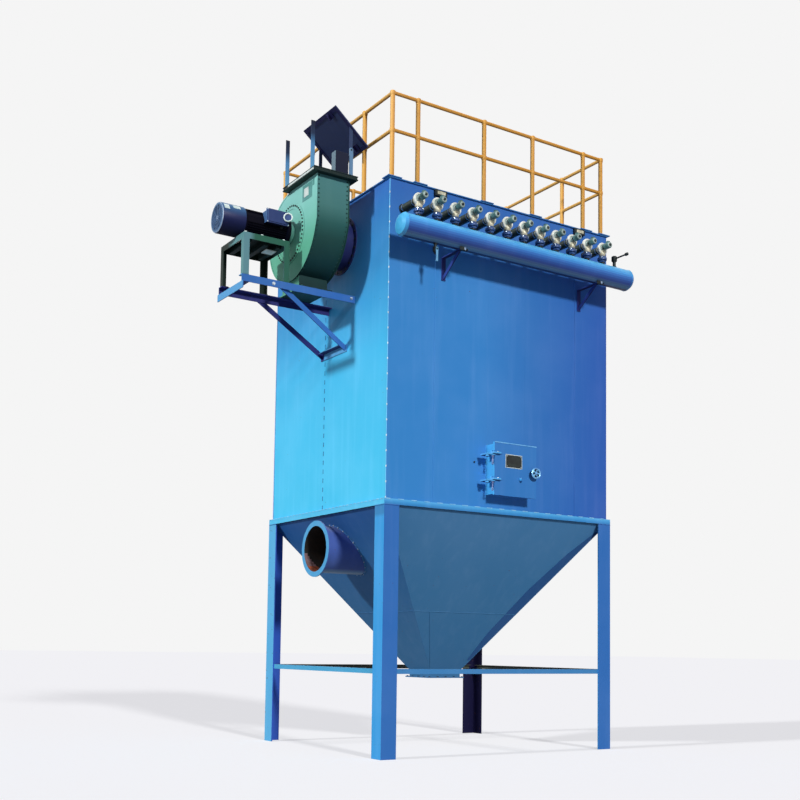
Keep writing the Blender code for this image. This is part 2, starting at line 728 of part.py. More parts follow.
def door_frame():
    """The box round the doorway, with the fixed hinge lugs and their pins."""
    inset = DOOR_FRAME_INSET
    sheet = DOOR_FRAME_SHEET
    wall = -HALF_DEPTH
    outer = box((DOOR_LEFT + inset, DOOR_FRAME_FRONT, DOOR_BOTTOM + inset),
                (DOOR_RIGHT - inset, wall - GAP, DOOR_TOP - inset))
    inset += sheet
    inner = box((DOOR_LEFT + inset, DOOR_FRAME_FRONT - sheet, DOOR_BOTTOM + inset),
                (DOOR_RIGHT - inset, wall + sheet, DOOR_TOP - inset))
    seat = DOOR_FRAME_FRONT + HINGE_RADIUS
    bite = DOOR_LEFT + inset - sheet / 2
    outline = ((HINGE_X - HINGE_RADIUS, HINGE_Y - HINGE_RADIUS),
               (HINGE_X + HINGE_RADIUS, HINGE_Y - HINGE_RADIUS),
               (HINGE_X + HINGE_RADIUS, DOOR_FRAME_FRONT),
               (bite, DOOR_FRAME_FRONT + sheet / 4),
               (bite, seat),
               (HINGE_X - HINGE_RADIUS, seat))
    lugs = []
    for height in HINGE_HEIGHTS:
        z = DOOR_BOTTOM + height - HINGE_KNUCKLE
        lugs.append(prism(outline, HINGE_KNUCKLE - GAP, along_z(0, 0, z)))
        lugs.append(pin(HINGE_PIN_RADIUS, 2 * HINGE_KNUCKLE, along_z(HINGE_X, HINGE_Y, z)))
    return fused(cut(outer, inner), *lugs)


def handwheel(x, z):
    """A spoked wheel on a spindle that ends inside the door's cover."""
    end = DOOR_FRONT - SPINDLE_LENGTH
    spindle = pin(SPINDLE_RADIUS, SPINDLE_LENGTH + DOOR_COVER - SPINDLE_STOP, along_y(x, end, z))
    hub = pin(HUB_RADIUS, HUB_LENGTH, along_y(x, end - HUB_PROUD, z))
    nut = cylinder(HUB_RADIUS, NUT_THICKNESS, along_y(x, DOOR_FRONT - GAP - NUT_THICKNESS, z), 6)
    middle = WHEEL_RADIUS - WHEEL_RIM
    section = [(WHEEL_RIM * math.sin(a), middle + WHEEL_RIM * math.cos(a))
               for a in [2 * math.pi * i / RIM_SIDES for i in range(RIM_SIDES)]]
    rim_y = end + WHEEL_RIM
    rim = turned(section, along_y(x, rim_y, z), closed=True)
    spokes = []
    for i in range(WHEEL_SPOKES):
        angle = 2 * math.pi * (i + 0.5) / WHEEL_SPOKES
        outward = Vector((math.cos(angle), 0, math.sin(angle)))
        start = Vector((x, rim_y, z)) + outward * SPOKE_START
        frame = frame_at(start, (0, 1, 0), outward.cross(Vector((0, 1, 0))))
        spokes.append(cylinder(WHEEL_RIM / 2, middle - SPOKE_START, frame, RIM_SIDES))
    return fused(spindle, hub, nut, rim, *spokes)


def scroll_outline():
    """The fan casing's side outline as (y, z) points, from the outlet's near edge round."""
    points = [(OUTLET_NEAR_Y, OUTLET_Z)]
    shrink = math.log(SCROLL_CUTOFF_RADIUS / SCROLL_OUTLET_RADIUS)
    for i in range(SCROLL_STEPS + 1):
        share = i / SCROLL_STEPS
        radius = SCROLL_OUTLET_RADIUS * math.exp(shrink * share ** SCROLL_EASE)
        angle = math.pi + share * 1.5 * math.pi
        points.append((FAN_Y + radius * math.cos(angle), FAN_Z + radius * math.sin(angle)))
    points.append((OUTLET_FAR_Y, FAN_Z + SCROLL_CUTOFF_RADIUS))
    points.append((OUTLET_FAR_Y, OUTLET_Z))
    return points


def build_fan(machine, green, blue, navy):
    """The fan casing, the duct to the housing, the outlet flange with its posts, and the cap."""
    sheet = CASING_SHEET
    casing = prism(scroll_outline(), FAN_WIDTH, along_x(FAN_OUTER_X, 0, 0))
    mouth = box((FAN_OUTER_X + sheet, OUTLET_NEAR_Y + sheet, OUTLET_Z - OUTLET_RECESS),
                (FAN_INNER_X - sheet, OUTLET_FAR_Y - sheet, OUTLET_Z + sheet))
    reach = (BEAM_SPACING + BEAM_SIZE) / 2
    low = BEAM_TOP + GAP
    plate = box((FAN_OUTER_X + sheet, FAN_Y - reach, low),
                (FAN_INNER_X - sheet, FAN_Y + reach, low + FAN_FOOT_PLATE))
    half = FAN_FOOT_WIDTH / 2
    block = box((FAN_OUTER_X + 2 * sheet, FAN_Y - half, low + FAN_FOOT_PLATE / 2),
                (FAN_INNER_X - 2 * sheet, FAN_Y + half, FAN_Z - SCROLL_CUTOFF_RADIUS))
    machine.add("fan_casing", cut(fused(casing, block, plate), mouth), green)

    duct = pipe(DUCT_RADIUS, DUCT_RADIUS - SHEET, FAN_TO_WALL + SHEET - GAP,
                along_x(FAN_INNER_X + GAP, FAN_Y, FAN_Z))
    machine.add("fan_inlet_duct", duct, blue)

    wide = OUTLET_FLANGE_WIDTH
    outer = (FAN_OUTER_X - wide, OUTLET_NEAR_Y - wide, FAN_INNER_X + wide, OUTLET_FAR_Y + wide)
    machine.add("fan_outlet_flange", outlet_flange(outer), green)
    machine.add("rain_cap", rain_cap(outer), navy)


def outlet_flange(outer):
    """The flange on the fan's outlet, with the cap's posts and hinge block standing on it."""
    sheet = CASING_SHEET
    low = OUTLET_Z + GAP
    high = low + OUTLET_FLANGE_THICKNESS
    seat = low + OUTLET_FLANGE_THICKNESS / 2
    inner = (FAN_OUTER_X + sheet, OUTLET_NEAR_Y + sheet, FAN_INNER_X - sheet, OUTLET_FAR_Y - sheet)
    tall_x = outer[0] + CAP_POST_INSET
    eye_x = outer[2] - EYE_POST_INSET - CAP_POST_WIDTH
    far_y = outer[3] - CAP_POST_INSET - CAP_POST_THICKNESS
    places = ((tall_x, outer[1] + TALL_POST_INSET, TALL_POST), (tall_x, far_y, TALL_POST),
              (eye_x, outer[1] + CAP_POST_INSET, SHORT_POST), (eye_x, far_y, SHORT_POST))
    posts = [box((x, y, seat), (x + CAP_POST_WIDTH, y + CAP_POST_THICKNESS, high + rise))
             for x, y, rise in places]
    wide, deep, tall = CAP_BLOCK
    block_x = outer[0] + CAP_BLOCK_PLACE
    block_y = outer[1] + (CAP_POST_INSET - CAP_POST_THICKNESS) / 2
    block = box((block_x, block_y, seat), (block_x + wide, block_y + deep, high + tall))
    return fused(rectangle_ring(outer, inner, low, high), block, *posts)


def rain_cap(outer):
    """The tilted plate over the outlet, with gussets down to the two short posts."""
    high = OUTLET_Z + GAP + OUTLET_FLANGE_THICKNESS
    middle = Vector(((outer[0] + outer[2]) / 2 + CAP_SHIFT, (outer[1] + outer[3]) / 2,
                     high + CAP_RISE))
    slope = Vector((math.cos(CAP_TILT), 0, -math.sin(CAP_TILT)))
    width = outer[3] - outer[1] - 2 * CAP_MARGIN
    corner = middle - slope * CAP_LENGTH / 2 - Vector((0, width / 2, 0))
    outline = ((0, 0), (CAP_LENGTH, 0), (CAP_LENGTH, width), (0, width))
    plate = prism(outline, CAP_SHEET, frame_at(corner, slope, (0, 1, 0)))
    pin_x = outer[2] - EYE_POST_INSET - CAP_POST_WIDTH / 2
    pin_z = high + SHORT_POST - CAP_POST_WIDTH / 2
    inside = CAP_POST_INSET + CAP_POST_THICKNESS + GAP
    lugs = [prism(cap_lug_outline(middle, pin_x, pin_z), CAP_POST_THICKNESS, along_y(0, y, 0))
            for y in (outer[1] + inside, outer[3] - inside - CAP_POST_THICKNESS)]
    return fused(plate, *lugs)


def cap_lug_outline(middle, pin_x, pin_z):
    """A gusset from the underside of the cap down to a short post, as (z, x) points."""
    half = CAP_POST_WIDTH / 2

    def under(x):
        return middle.z - (x - middle.x) * math.tan(CAP_TILT) + CAP_SHEET / 2

    left, right = pin_x - 3 * half, pin_x + 4 * half
    return ((pin_z - half, pin_x - half), (pin_z - half, pin_x + half), (under(right), right),
            (under(left), left))


def build_motor(machine, navy, green):
    """The motor with its fan cover and shaft, its terminal box and the stand under it."""
    length = MOTOR_LENGTH
    shield = length - SHIELD_LENGTH
    profile = [(0, COVER_RADIUS - COVER_EDGE), (COVER_EDGE, COVER_RADIUS),
               (COVER_LENGTH, COVER_RADIUS), (COVER_LENGTH, MOTOR_BODY_RADIUS),
               (shield, MOTOR_BODY_RADIUS), (shield, MOTOR_RADIUS),
               (length - SHIELD_NOSE, MOTOR_RADIUS), (length, SHIELD_NOSE_RADIUS),
               (length, SHAFT_RADIUS), (length + SHAFT_LENGTH - GAP, SHAFT_RADIUS)]
    barrel = turned(profile, along_x(MOTOR_OUTER_X, FAN_Y, FAN_Z))
    start = MOTOR_OUTER_X + COVER_LENGTH + MOTOR_FOOT_MARGIN
    end = MOTOR_OUTER_X + length - MOTOR_FOOT_MARGIN
    low = STAND_TOP + GAP
    half = MOTOR_FOOT / 2
    thick = MOTOR_FOOT_THICKNESS
    foot = box((start, FAN_Y - half, low), (end, FAN_Y + half, low + thick))
    half = MOTOR_WEB / 2
    web = box((start + thick / 2, FAN_Y - half, low + thick / 2),
              (end - thick / 2, FAN_Y + half, FAN_Z - MOTOR_RADIUS / 2))
    machine.add("motor", fused(barrel, web, foot), navy)

    box_x, box_y, box_z = TERMINAL_BOX
    end = MOTOR_OUTER_X + length - TERMINAL_BOX_MARGIN
    low = FAN_Z + TERMINAL_BOX_RISE
    terminal = box((end - box_x, FAN_Y - MOTOR_BODY_RADIUS - box_y, low),
                   (end, FAN_Y, low + box_z))
    room = cylinder(MOTOR_BODY_RADIUS + GAP, length, along_x(MOTOR_OUTER_X, FAN_Y, FAN_Z))
    machine.add("terminal_box", cut(terminal, room), navy)

    machine.add("motor_stand", motor_stand(), green)


def motor_stand():
    """A table of angles: four posts, a rail round the top and a plate under the motor."""
    half = (BEAM_SPACING + BEAM_SIZE) / 2
    end = FAN_OUTER_X - SHAFT_LENGTH - STAND_CLEARANCE
    start = end - STAND_LENGTH
    low = BEAM_TOP + GAP
    section = angle_section(STAND_SIZE, STAND_THICKNESS)
    posts = []
    for x, side_x in ((start, 1), (end, -1)):
        for y, side_y in ((FAN_Y - half, 1), (FAN_Y + half, -1)):
            outline = [(x + side_x * u, y + side_y * v) for u, v in section]
            posts.append(prism(outline, STAND_TOP - low, along_z(0, 0, low)))
    ledge = MOTOR_FOOT / 2 - STAND_LEDGE
    thin = STAND_THICKNESS
    outer = (start, FAN_Y - half, end, FAN_Y + half)
    inner = (start + STAND_SIZE, FAN_Y - ledge, end - STAND_SIZE, FAN_Y + ledge)
    skirt = (start + thin, FAN_Y - half + thin, end - thin, FAN_Y + half - thin)
    top = rectangle_ring(outer, inner, STAND_TOP - thin, STAND_TOP)
    rim = rectangle_ring(outer, skirt, STAND_TOP - STAND_SIZE, STAND_TOP - thin / 2)
    return fused(top, rim, *posts)


def build_bracket(machine, blue):
    """Two beams with struts off the wall, and the cross angles that tie them.

    The struts' feet stand further back than the beams, where the wall angle ties them.
    """
    half = BEAM_SPACING / 2
    wall = -HALF_WIDTH - GAP
    end = wall - BEAM_REACH
    size, thick = BEAM_SIZE, BEAM_THICKNESS
    section = angle_section(size, thick)
    foot_z = BEAM_TOP - STRUT_FALL
    feet = []
    for name, side in (("fan_bracket_front", -1), ("fan_bracket_back", 1)):
        y = FAN_Y + side * (half + size / 2)
        outline = [(y - side * u, BEAM_TOP - v) for u, v in section]
        beam = prism(outline, BEAM_REACH, along_x(end, 0, 0))
        foot_y = y - side * size / 2 + STRUT_SKEW
        bar = sloping_bar(Vector((wall, foot_y, foot_z)),
                          Vector((wall - STRUT_OUT, y - side * thick, BEAM_TOP)), STRUT_WIDTH, thick)
        bar = trimmed(bar, (end, -HALF_DEPTH, foot_z - size), (wall - thick / 2, HALF_DEPTH,
                                                               BEAM_TOP - thick / 2))
        pad = box((wall - thick, foot_y - size / 2, foot_z - size / 2),
                  (wall, foot_y + size / 2, foot_z + size / 2))
        machine.add(name, fused(beam, bar, pad), blue)
        feet.append(foot_y - side * (size / 2 + GAP))
    outline = [(BEAM_TOP - size - GAP - v, end + u) for u, v in section]
    reach = half + size - TIE_MARGIN
    tie = prism(outline, 2 * reach, along_y(0, FAN_Y - reach, 0))
    machine.add("fan_bracket_end", tie, blue)
    outline = [(foot_z + size / 2 - v, wall - u) for u, v in section]
    rail = prism(outline, feet[1] - feet[0], along_y(0, feet[0], 0))
    machine.add("fan_bracket_wall_angle", rail, blue)


def main():
    clear_scene()
    machine = Machine()
    blue = paint("blue enamel", "3C7BC6", 0.42)
    yellow = paint("yellow enamel", "E2A23A", 0.45)
    cream = paint("cast aluminium", "CFC8B4", 0.50, 0.6)
    pale_blue = paint("pale blue valve bodies", "8FB8D8", 0.45)
    steel = paint("plated steel", "5B6470", 0.40, 0.8)
    green = paint("green enamel", "4E9A80", 0.45)
    navy = paint("navy enamel", "1E2A5A", 0.40)
    build_legs(machine, blue)
    build_hopper(machine, blue)
    build_walls(machine, blue)
    build_railing(machine, yellow)
    build_header(machine, blue, cream, pale_blue)
    build_door(machine, blue, steel)
    build_fan(machine, green, blue, navy)
    build_motor(machine, navy, green)
    build_bracket(machine, blue)
    machine.centre()


main()
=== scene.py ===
"""Looks of the baghouse dust collector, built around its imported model.

Metres, +Z up. Sizes are counted from the middle of the housing at floor level. Each finished mesh
is then moved by SHIFT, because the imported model's origin lies under the middle of the machine.
"""

import logging
import math
from dataclasses import dataclass
from enum import Enum, IntEnum
from typing import Any, Iterable, Sequence

import bmesh
import bpy
from mathutils import Matrix, Vector


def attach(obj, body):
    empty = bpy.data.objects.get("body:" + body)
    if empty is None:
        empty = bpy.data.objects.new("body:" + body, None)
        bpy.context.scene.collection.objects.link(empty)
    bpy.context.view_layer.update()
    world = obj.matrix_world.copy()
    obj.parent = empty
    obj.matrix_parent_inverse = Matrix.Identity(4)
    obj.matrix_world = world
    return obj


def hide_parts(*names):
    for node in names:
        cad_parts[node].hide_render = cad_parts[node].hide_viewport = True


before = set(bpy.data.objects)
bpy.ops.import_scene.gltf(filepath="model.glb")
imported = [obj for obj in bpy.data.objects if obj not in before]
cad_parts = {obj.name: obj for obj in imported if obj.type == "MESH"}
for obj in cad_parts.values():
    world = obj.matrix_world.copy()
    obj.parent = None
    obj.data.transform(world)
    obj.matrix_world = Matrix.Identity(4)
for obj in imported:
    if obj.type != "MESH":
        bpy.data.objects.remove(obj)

LOG = logging.getLogger("dust_collector")
SHIFT = Vector((0.7075, 0.2425, 0.0))
VALVE_COUNT = 12
VALVE_START = -1.34
VALVE_PITCH = 0.22755
UP = Vector((0.0, 0.0, 1.0))
FRONT = Vector((0.0, -1.0, 0.0))
LEFT = Vector((-1.0, 0.0, 0.0))
Point2 = tuple[float, float]
Point = Sequence[float]


class Body(Enum):
    """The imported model's moving bodies."""

    MACHINE = "machine"
    DOOR = "door"
    WHEEL = "handwheel"


class Slot(Enum):
    """The record's material slots."""

    BLUE = "blue_enamel"
    YELLOW = "yellow_enamel"
    CAST = "cast_aluminium"
    VALVE = "valve_blue"
    PLATED = "plated_steel"
    GREEN = "green_enamel"
    NAVY = "navy_enamel"


class Axis(Enum):
    """A direction that a gradient of colour follows."""

    X = 0
    Y = 1
    Z = 2


# ---- small tools --------------------------------------------------------------------------


def linear(code: str) -> tuple[float, float, float, float]:
    """Turn an sRGB colour in hex digits into linear RGBA.

    Args:
        code: Six hex digits.

    Returns:
        Linear red, green, blue and an alpha of 1.
    """
    parts = [int(code[i:i + 2], 16) / 255 for i in (0, 2, 4)]
    straight = [p / 12.92 if p <= 0.04045 else ((p + 0.055) / 1.055) ** 2.4 for p in parts]
    return (straight[0], straight[1], straight[2], 1.0)


def add_node(tree: bpy.types.NodeTree, kind: str, given: dict[Any, Any] | None = None,
             **settings: Any) -> bpy.types.Node:
    """Add a node, set its properties and fill its inputs.

    Args:
        tree: The node tree that gets the node.
        kind: Blender's type name of the node.
        given: Values, or sockets to link from, by the input's name or number.
        settings: The node's own properties.

    Returns:
        The node.
    """
    made = tree.nodes.new(kind)
    for key, value in settings.items():
        setattr(made, key, value)
    for key, value in (given or {}).items():
        if isinstance(value, bpy.types.NodeSocket):
            tree.links.new(value, made.inputs[key])
        else:
            made.inputs[key].default_value = value
    return made


def arc(centre: Point, radius: float, degrees: Iterable[float]) -> list[Point2]:
    """Return flat points on a circle at angles in degrees."""
    return [(centre[0] + radius * math.cos(a), centre[1] + radius * math.sin(a))
            for a in map(math.radians, degrees)]


def frame_at(origin: Point, x_axis: Point, y_axis: Point) -> Matrix:
    """Make a frame from its origin and two of its axes.

    Args:
        origin: Where the frame sits.
        x_axis: Its X direction.
        y_axis: Its Y direction, square to X.

    Returns:
        The frame as a 4x4 matrix.
    """
    first, second = Vector(x_axis).normalized(), Vector(y_axis).normalized()
    made = Matrix((first, second, first.cross(second))).transposed().to_4x4()
    made.translation = Vector(origin)
    return made


def facing(origin: Point, direction: Point) -> Matrix:
    """Make a frame whose Z points along a direction.

    Args:
        origin: Where the frame sits.
        direction: Where its Z points.

    Returns:
        The frame as a 4x4 matrix.
    """
    made = Vector(direction).to_track_quat("Z", "Y").to_matrix().to_4x4()
    made.translation = Vector(origin)
    return made


def spread(start: Point, end: Point, count: int) -> list[Vector]:
    """Space points evenly from one end of a line to the other.

    Args:
        start: First point.
        end: Last point.
        count: How many points, both ends among them.

    Returns:
        The points in order.
    """
    low, high = Vector(start), Vector(end)
    return [low.lerp(high, i / max(1, count - 1)) for i in range(count)]


def round_rim(low: Point2, high: Point2, z: float, counts: tuple[int, int]) -> list[Vector]:
    """Space points round a level rectangle.

    Args:
        low: Its lowest x and y.
        high: Its highest x and y.
        z: Its height.
        counts: How many points a side along X has, and one along Y, both ends among them.

    Returns:
        The points in order.
    """
    (x0, y0), (x1, y1) = low, high
    corners = [(x0, y0, z), (x1, y0, z), (x1, y1, z), (x0, y1, z)]
    found = []
    for start, end, count in zip(corners, corners[1:] + corners[:1], counts * 2):
        found += spread(start, end, count)[:-1]
    return found


def circle(frame_: Matrix, radius: float, count: int, start: float = 0.0) -> list[Vector]:
    """Place points round a frame's Z axis.

    Args:
        frame_: The circle's frame.
        radius: Its radius.
        count: How many points.
        start: Angle of the first point, in radians.

    Returns:
        The points in order.
    """
    angles = [start + 2 * math.pi * i / count for i in range(count)]
    return [frame_ @ Vector((radius * math.cos(a), radius * math.sin(a), 0)) for a in angles]


class Shape:
    """A mesh in the making, with one material number for each new face."""

    def __init__(self) -> None:
        """Start an empty mesh."""
        self.mesh = bmesh.new()
        self.finish = 0

    def face(self, corners: Sequence[bmesh.types.BMVert]) -> None:
        """Add a face with the current material number."""
        self.mesh.faces.new(corners).material_index = self.finish

    def prism(self, outline: Sequence[Point], length: float, place: Matrix) -> "Shape":
        """Draw a flat outline out along a frame's Z.

        Args:
            outline: Corners in the frame's XY plane.
            length: How far it is drawn out.
            place: The frame.

        Returns:
            The shape itself.
        """
        low = [self.mesh.verts.new(place @ Vector((x, y, 0))) for x, y in outline]
        high = [self.mesh.verts.new(place @ Vector((x, y, length))) for x, y in outline]
        self.face(low[::-1])
        self.face(high)
        for i, start in enumerate(low):
            after = (i + 1) % len(low)
            self.face((start, low[after], high[after], high[i]))
        return self

    def box(self, low: Point, high: Point, place: Matrix = Matrix()) -> "Shape":
        """Add a box from its two corners in a frame."""
        outline = ((low[0], low[1]), (high[0], low[1]), (high[0], high[1]), (low[0], high[1]))
        return self.prism(outline, high[2] - low[2], place @ Matrix.Translation((0, 0, low[2])))

    def turned(self, profile: Sequence[Point], place: Matrix, sides: int = 24,
               closed: bool = False) -> "Shape":
        """Turn a profile about a frame's Z.

        Args:
            profile: (height, radius) points. A radius of 0 closes in a pole.
            place: The frame.
            sides: How many sides the turned form has.
            closed: Whether the profile is the section of a ring.

        Returns:
            The shape itself.
        """
        rings = []
        for height, radius in profile:
            count = sides if radius else 1
            rings.append([self.mesh.verts.new(place @ Vector((
                radius * math.cos(2 * math.pi * i / sides),
                radius * math.sin(2 * math.pi * i / sides), height))) for i in range(count)])
        pairs = list(zip(rings, rings[1:]))
        if closed:
            pairs.append((rings[-1], rings[0]))
        for lower, upper in pairs:
            for i in range(sides):
                corners = (lower[i % len(lower)], lower[(i + 1) % len(lower)],
                           upper[(i + 1) % len(upper)], upper[i % len(upper)])
                self.face(list(dict.fromkeys(corners)))
        if not closed:
            for ring in (rings[0], rings[-1]):
                if len(ring) > 1:
                    self.face(ring)
        return self

    def lathed(self, place: Matrix, rows: Iterable[tuple[int, int, Sequence[Point]]]) -> None:
        """Turn several profiles about one frame, each given as (finish, sides, profile)."""
        for self.finish, sides, profile in rows:
            self.turned(profile, place, sides)

    def bar(self, start: Point, end: Point, radius: float, sides: int = 12) -> "Shape":
        """Add a round bar between two points."""
        run = Vector(end) - Vector(start)
        return self.turned(((0, radius), (run.length, radius)), facing(start, run), sides)

    def ring(self, place: Matrix, radius: float, thickness: float, sides: int = 32,
             section: int = 8) -> "Shape":
        """Add a ring of round section about a frame's Z.

        Args:
            place: The ring's frame.
            radius: Radius of its middle line.
            thickness: Radius of its section.
            sides: Sides round the ring.
            section: Sides round its section.

        Returns:
            The shape itself.
        """
        turns = [2 * math.pi * i / section for i in range(section)]
        profile = [(thickness * math.sin(a), radius + thickness * math.cos(a)) for a in turns]
        return self.turned(profile, place, sides, closed=True)

    def frame_ring(self, outer: Point, inner: Point, low: float, high: float) -> "Shape":
        """Add a flat rectangular frame.

        Args:
            outer: Outer (x low, y low, x high, y high).
            inner: Inner (x low, y low, x high, y high).
            low: Height of its underside.
            high: Height of its top.

        Returns:
            The shape itself.
        """
        loops = []
        for x0, y0, x1, y1 in (outer, inner):
            for z in (low, high):
                loops.append([self.mesh.verts.new((x, y, z))
                              for x, y in ((x0, y0), (x1, y0), (x1, y1), (x0, y1))])
        for a, b in ((0, 1), (1, 3), (3, 2), (2, 0)):
            for i in range(4):
                after = (i + 1) % 4
                self.face((loops[a][i], loops[a][after], loops[b][after], loops[b][i]))
        return self

    def done(self, bevel: float = 0.0, smooth: float = 35.0) -> bpy.types.Mesh:
        """Close the mesh with outward faces.

        Args:
            bevel: Width of the bevel on its sharp edges, or 0 for none.
            smooth: Angle in degrees under which edges are shaded smooth.

        Returns:
            The mesh.
        """
        bmesh.ops.recalc_face_normals(self.mesh, faces=self.mesh.faces)
        if bevel:
            edges = [e for e in self.mesh.edges
                     if len(e.link_faces) == 2 and e.calc_face_angle(0) > math.radians(50)]
            bmesh.ops.bevel(self.mesh, geom=edges, offset=bevel, segments=1, affect="EDGES",
                            clamp_overlap=True, material=-1)
        mesh = bpy.data.meshes.new("shape")
        self.mesh.to_mesh(mesh)
        self.mesh.free()
        mesh.shade_smooth()
        mesh.set_sharp_from_angle(angle=math.radians(smooth))
        return mesh


# ---- geometry node tools ------------------------------------------------------------------


class NodeTool:
    """A Geometry Nodes tree with named inputs, which turns marks into finished shapes."""

    NAME = "tool"
    SIZES: dict[str, float | int] = {}

    def __init__(self) -> None:
        """Build the tree: its inputs, what it grows, and the finish at its end."""
        self.tree = bpy.data.node_groups.new(self.NAME, "GeometryNodeTree")
        sockets = self.tree.interface
        sockets.new_socket("Geometry", in_out="INPUT", socket_type="NodeSocketGeometry")
        for label, size in self.SIZES.items():
            kind = "NodeSocketInt" if isinstance(size, int) else "NodeSocketFloat"
            sockets.new_socket(label, in_out="INPUT", socket_type=kind).default_value = size
        sockets.new_socket("Finish", in_out="INPUT", socket_type="NodeSocketMaterial")
        sockets.new_socket("Geometry", in_out="OUTPUT", socket_type="NodeSocketGeometry")
        entry = add_node(self.tree, "NodeGroupInput")
        self.given = {socket.name: socket for socket in entry.outputs if socket.name}
        real = add_node(self.tree, "GeometryNodeRealizeInstances", {"Geometry": self.grow()})
        dressed = add_node(self.tree, "GeometryNodeSetMaterial",
                           {"Geometry": real.outputs[0], "Material": self.given["Finish"]})
        add_node(self.tree, "NodeGroupOutput", {"Geometry": dressed.outputs[0]})

    def grow(self) -> bpy.types.NodeSocket:
        """Add the tool's own nodes and return the socket with its geometry."""
        raise NotImplementedError

    def maths(self, operation: str, *values: Any) -> bpy.types.NodeSocket:
        """Add one step of arithmetic and return its result."""
        return add_node(self.tree, "ShaderNodeMath", dict(enumerate(values)),
                        operation=operation).outputs[0]

    def run(self, marks: bpy.types.Mesh, finish: bpy.types.Material,
            sizes: dict[str, float | int] | None = None, smooth: float = 35.0) -> bpy.types.Mesh:
        """Grow a plain mesh from marks.

        Args:
            marks: Points or lines that the tool works on.
            finish: Material of the result.
            sizes: Sizes that differ from the tool's own, by input name.
            smooth: Angle in degrees under which edges are shaded smooth.

        Returns:
            The plain mesh.
        """
        holder = bpy.data.objects.new("holder", marks)
        bpy.context.scene.collection.objects.link(holder)
        modifier = holder.modifiers.new("grown", "NODES")
        modifier.node_group = self.tree
        wanted = {**self.SIZES, **(sizes or {}), "Finish": finish}
        for item in self.tree.interface.items_tree:
            if item.in_out == "INPUT" and item.name in wanted:
                modifier[item.identifier] = wanted[item.name]
        view = bpy.context.evaluated_depsgraph_get()
        mesh = bpy.data.meshes.new_from_object(holder.evaluated_get(view))
        holder.modifiers.remove(modifier)
        bpy.data.objects.remove(holder)
        mesh.shade_smooth()
        mesh.set_sharp_from_angle(angle=math.radians(smooth))
        return mesh


class BoltTool(NodeTool):
    """Hexagon heads on washers, one on each marked point, turned by chance."""

    NAME = "bolts"
    SIZES = {"Head Radius": 0.014, "Head Height": 0.010, "Washer Radius": 0.018,
             "Washer Height": 0.003, "Head Sides": 6, "Seed": 4}

    def grow(self) -> bpy.types.NodeSocket:
        """Add the nodes for a head and a washer on each point.

        Returns:
            The socket with the shapes.
        """
        parts = []
        for sides, radius, height in ((self.given["Head Sides"], "Head Radius", "Head Height"),
                                      (12, "Washer Radius", "Washer Height")):
            tall = self.given[height]
            round_ = add_node(self.tree, "GeometryNodeMeshCylinder",
                              {"Vertices": sides, "Radius": self.given[radius], "Depth": tall})
            lift = add_node(self.tree, "ShaderNodeCombineXYZ",
                            {"Z": self.maths("MULTIPLY", tall, 0.5)})
            parts.append(add_node(self.tree, "GeometryNodeTransform",
                                  {"Geometry": round_.outputs["Mesh"],
                                   "Translation": lift.outputs[0]}))
        joined = add_node(self.tree, "GeometryNodeJoinGeometry")
        for part in parts:
            self.tree.links.new(part.outputs[0], joined.inputs[0])
        outward = add_node(self.tree, "GeometryNodeInputNamedAttribute", {"Name": "facing"},
                           data_type="FLOAT_VECTOR")
        upright = add_node(self.tree, "FunctionNodeAlignRotationToVector",
                           {"Vector": outward.outputs[0]}, axis="Z")
        chance = add_node(self.tree, "FunctionNodeRandomValue",
                          {2: 0.0, 3: 1.05, "Seed": self.given["Seed"]}, data_type="FLOAT")
        twist = add_node(self.tree, "ShaderNodeCombineXYZ", {"Z": chance.outputs[1]})
        turn = add_node(self.tree, "FunctionNodeEulerToRotation", {0: twist.outputs[0]})
        turned = add_node(self.tree, "FunctionNodeRotateRotation",
                          {0: upright.outputs[0], 1: turn.outputs[0]}, rotation_space="LOCAL")
        placed = add_node(self.tree, "GeometryNodeInstanceOnPoints",
                          {"Points": self.given["Geometry"], "Instance": joined.outputs[0],
                           "Rotation": turned.outputs[0]})
        return placed.outputs[0]


class FinTool(NodeTool):
    """Thin flat ribs, one on each marked point, standing out along its facing."""

    NAME = "fins"
    SIZES = {"Length": 0.3, "Thickness": 0.003, "Height": 0.015}

    def grow(self) -> bpy.types.NodeSocket:
        """Add the nodes for a rib on each point, its length along the point's run.

        Returns:
            The socket with the shapes.
        """
        size = add_node(self.tree, "ShaderNodeCombineXYZ",
                        {"X": self.given["Length"], "Y": self.given["Thickness"],
                         "Z": self.given["Height"]})
        rib = add_node(self.tree, "GeometryNodeMeshCube", {"Size": size.outputs[0]})
        turned = None
        for name, axis, pivot in (("facing", "Z", "AUTO"), ("run", "X", "Z")):
            mark = add_node(self.tree, "GeometryNodeInputNamedAttribute", {"Name": name},
                            data_type="FLOAT_VECTOR")
            links = {"Vector": mark.outputs[0]}
            if turned:
                links["Rotation"] = turned.outputs[0]
            turned = add_node(self.tree, "FunctionNodeAlignRotationToVector", links, axis=axis,
                              pivot_axis=pivot)
        placed = add_node(self.tree, "GeometryNodeInstanceOnPoints",
                          {"Points": self.given["Geometry"], "Instance": rib.outputs["Mesh"],
                           "Rotation": turned.outputs[0]})
        return placed.outputs[0]


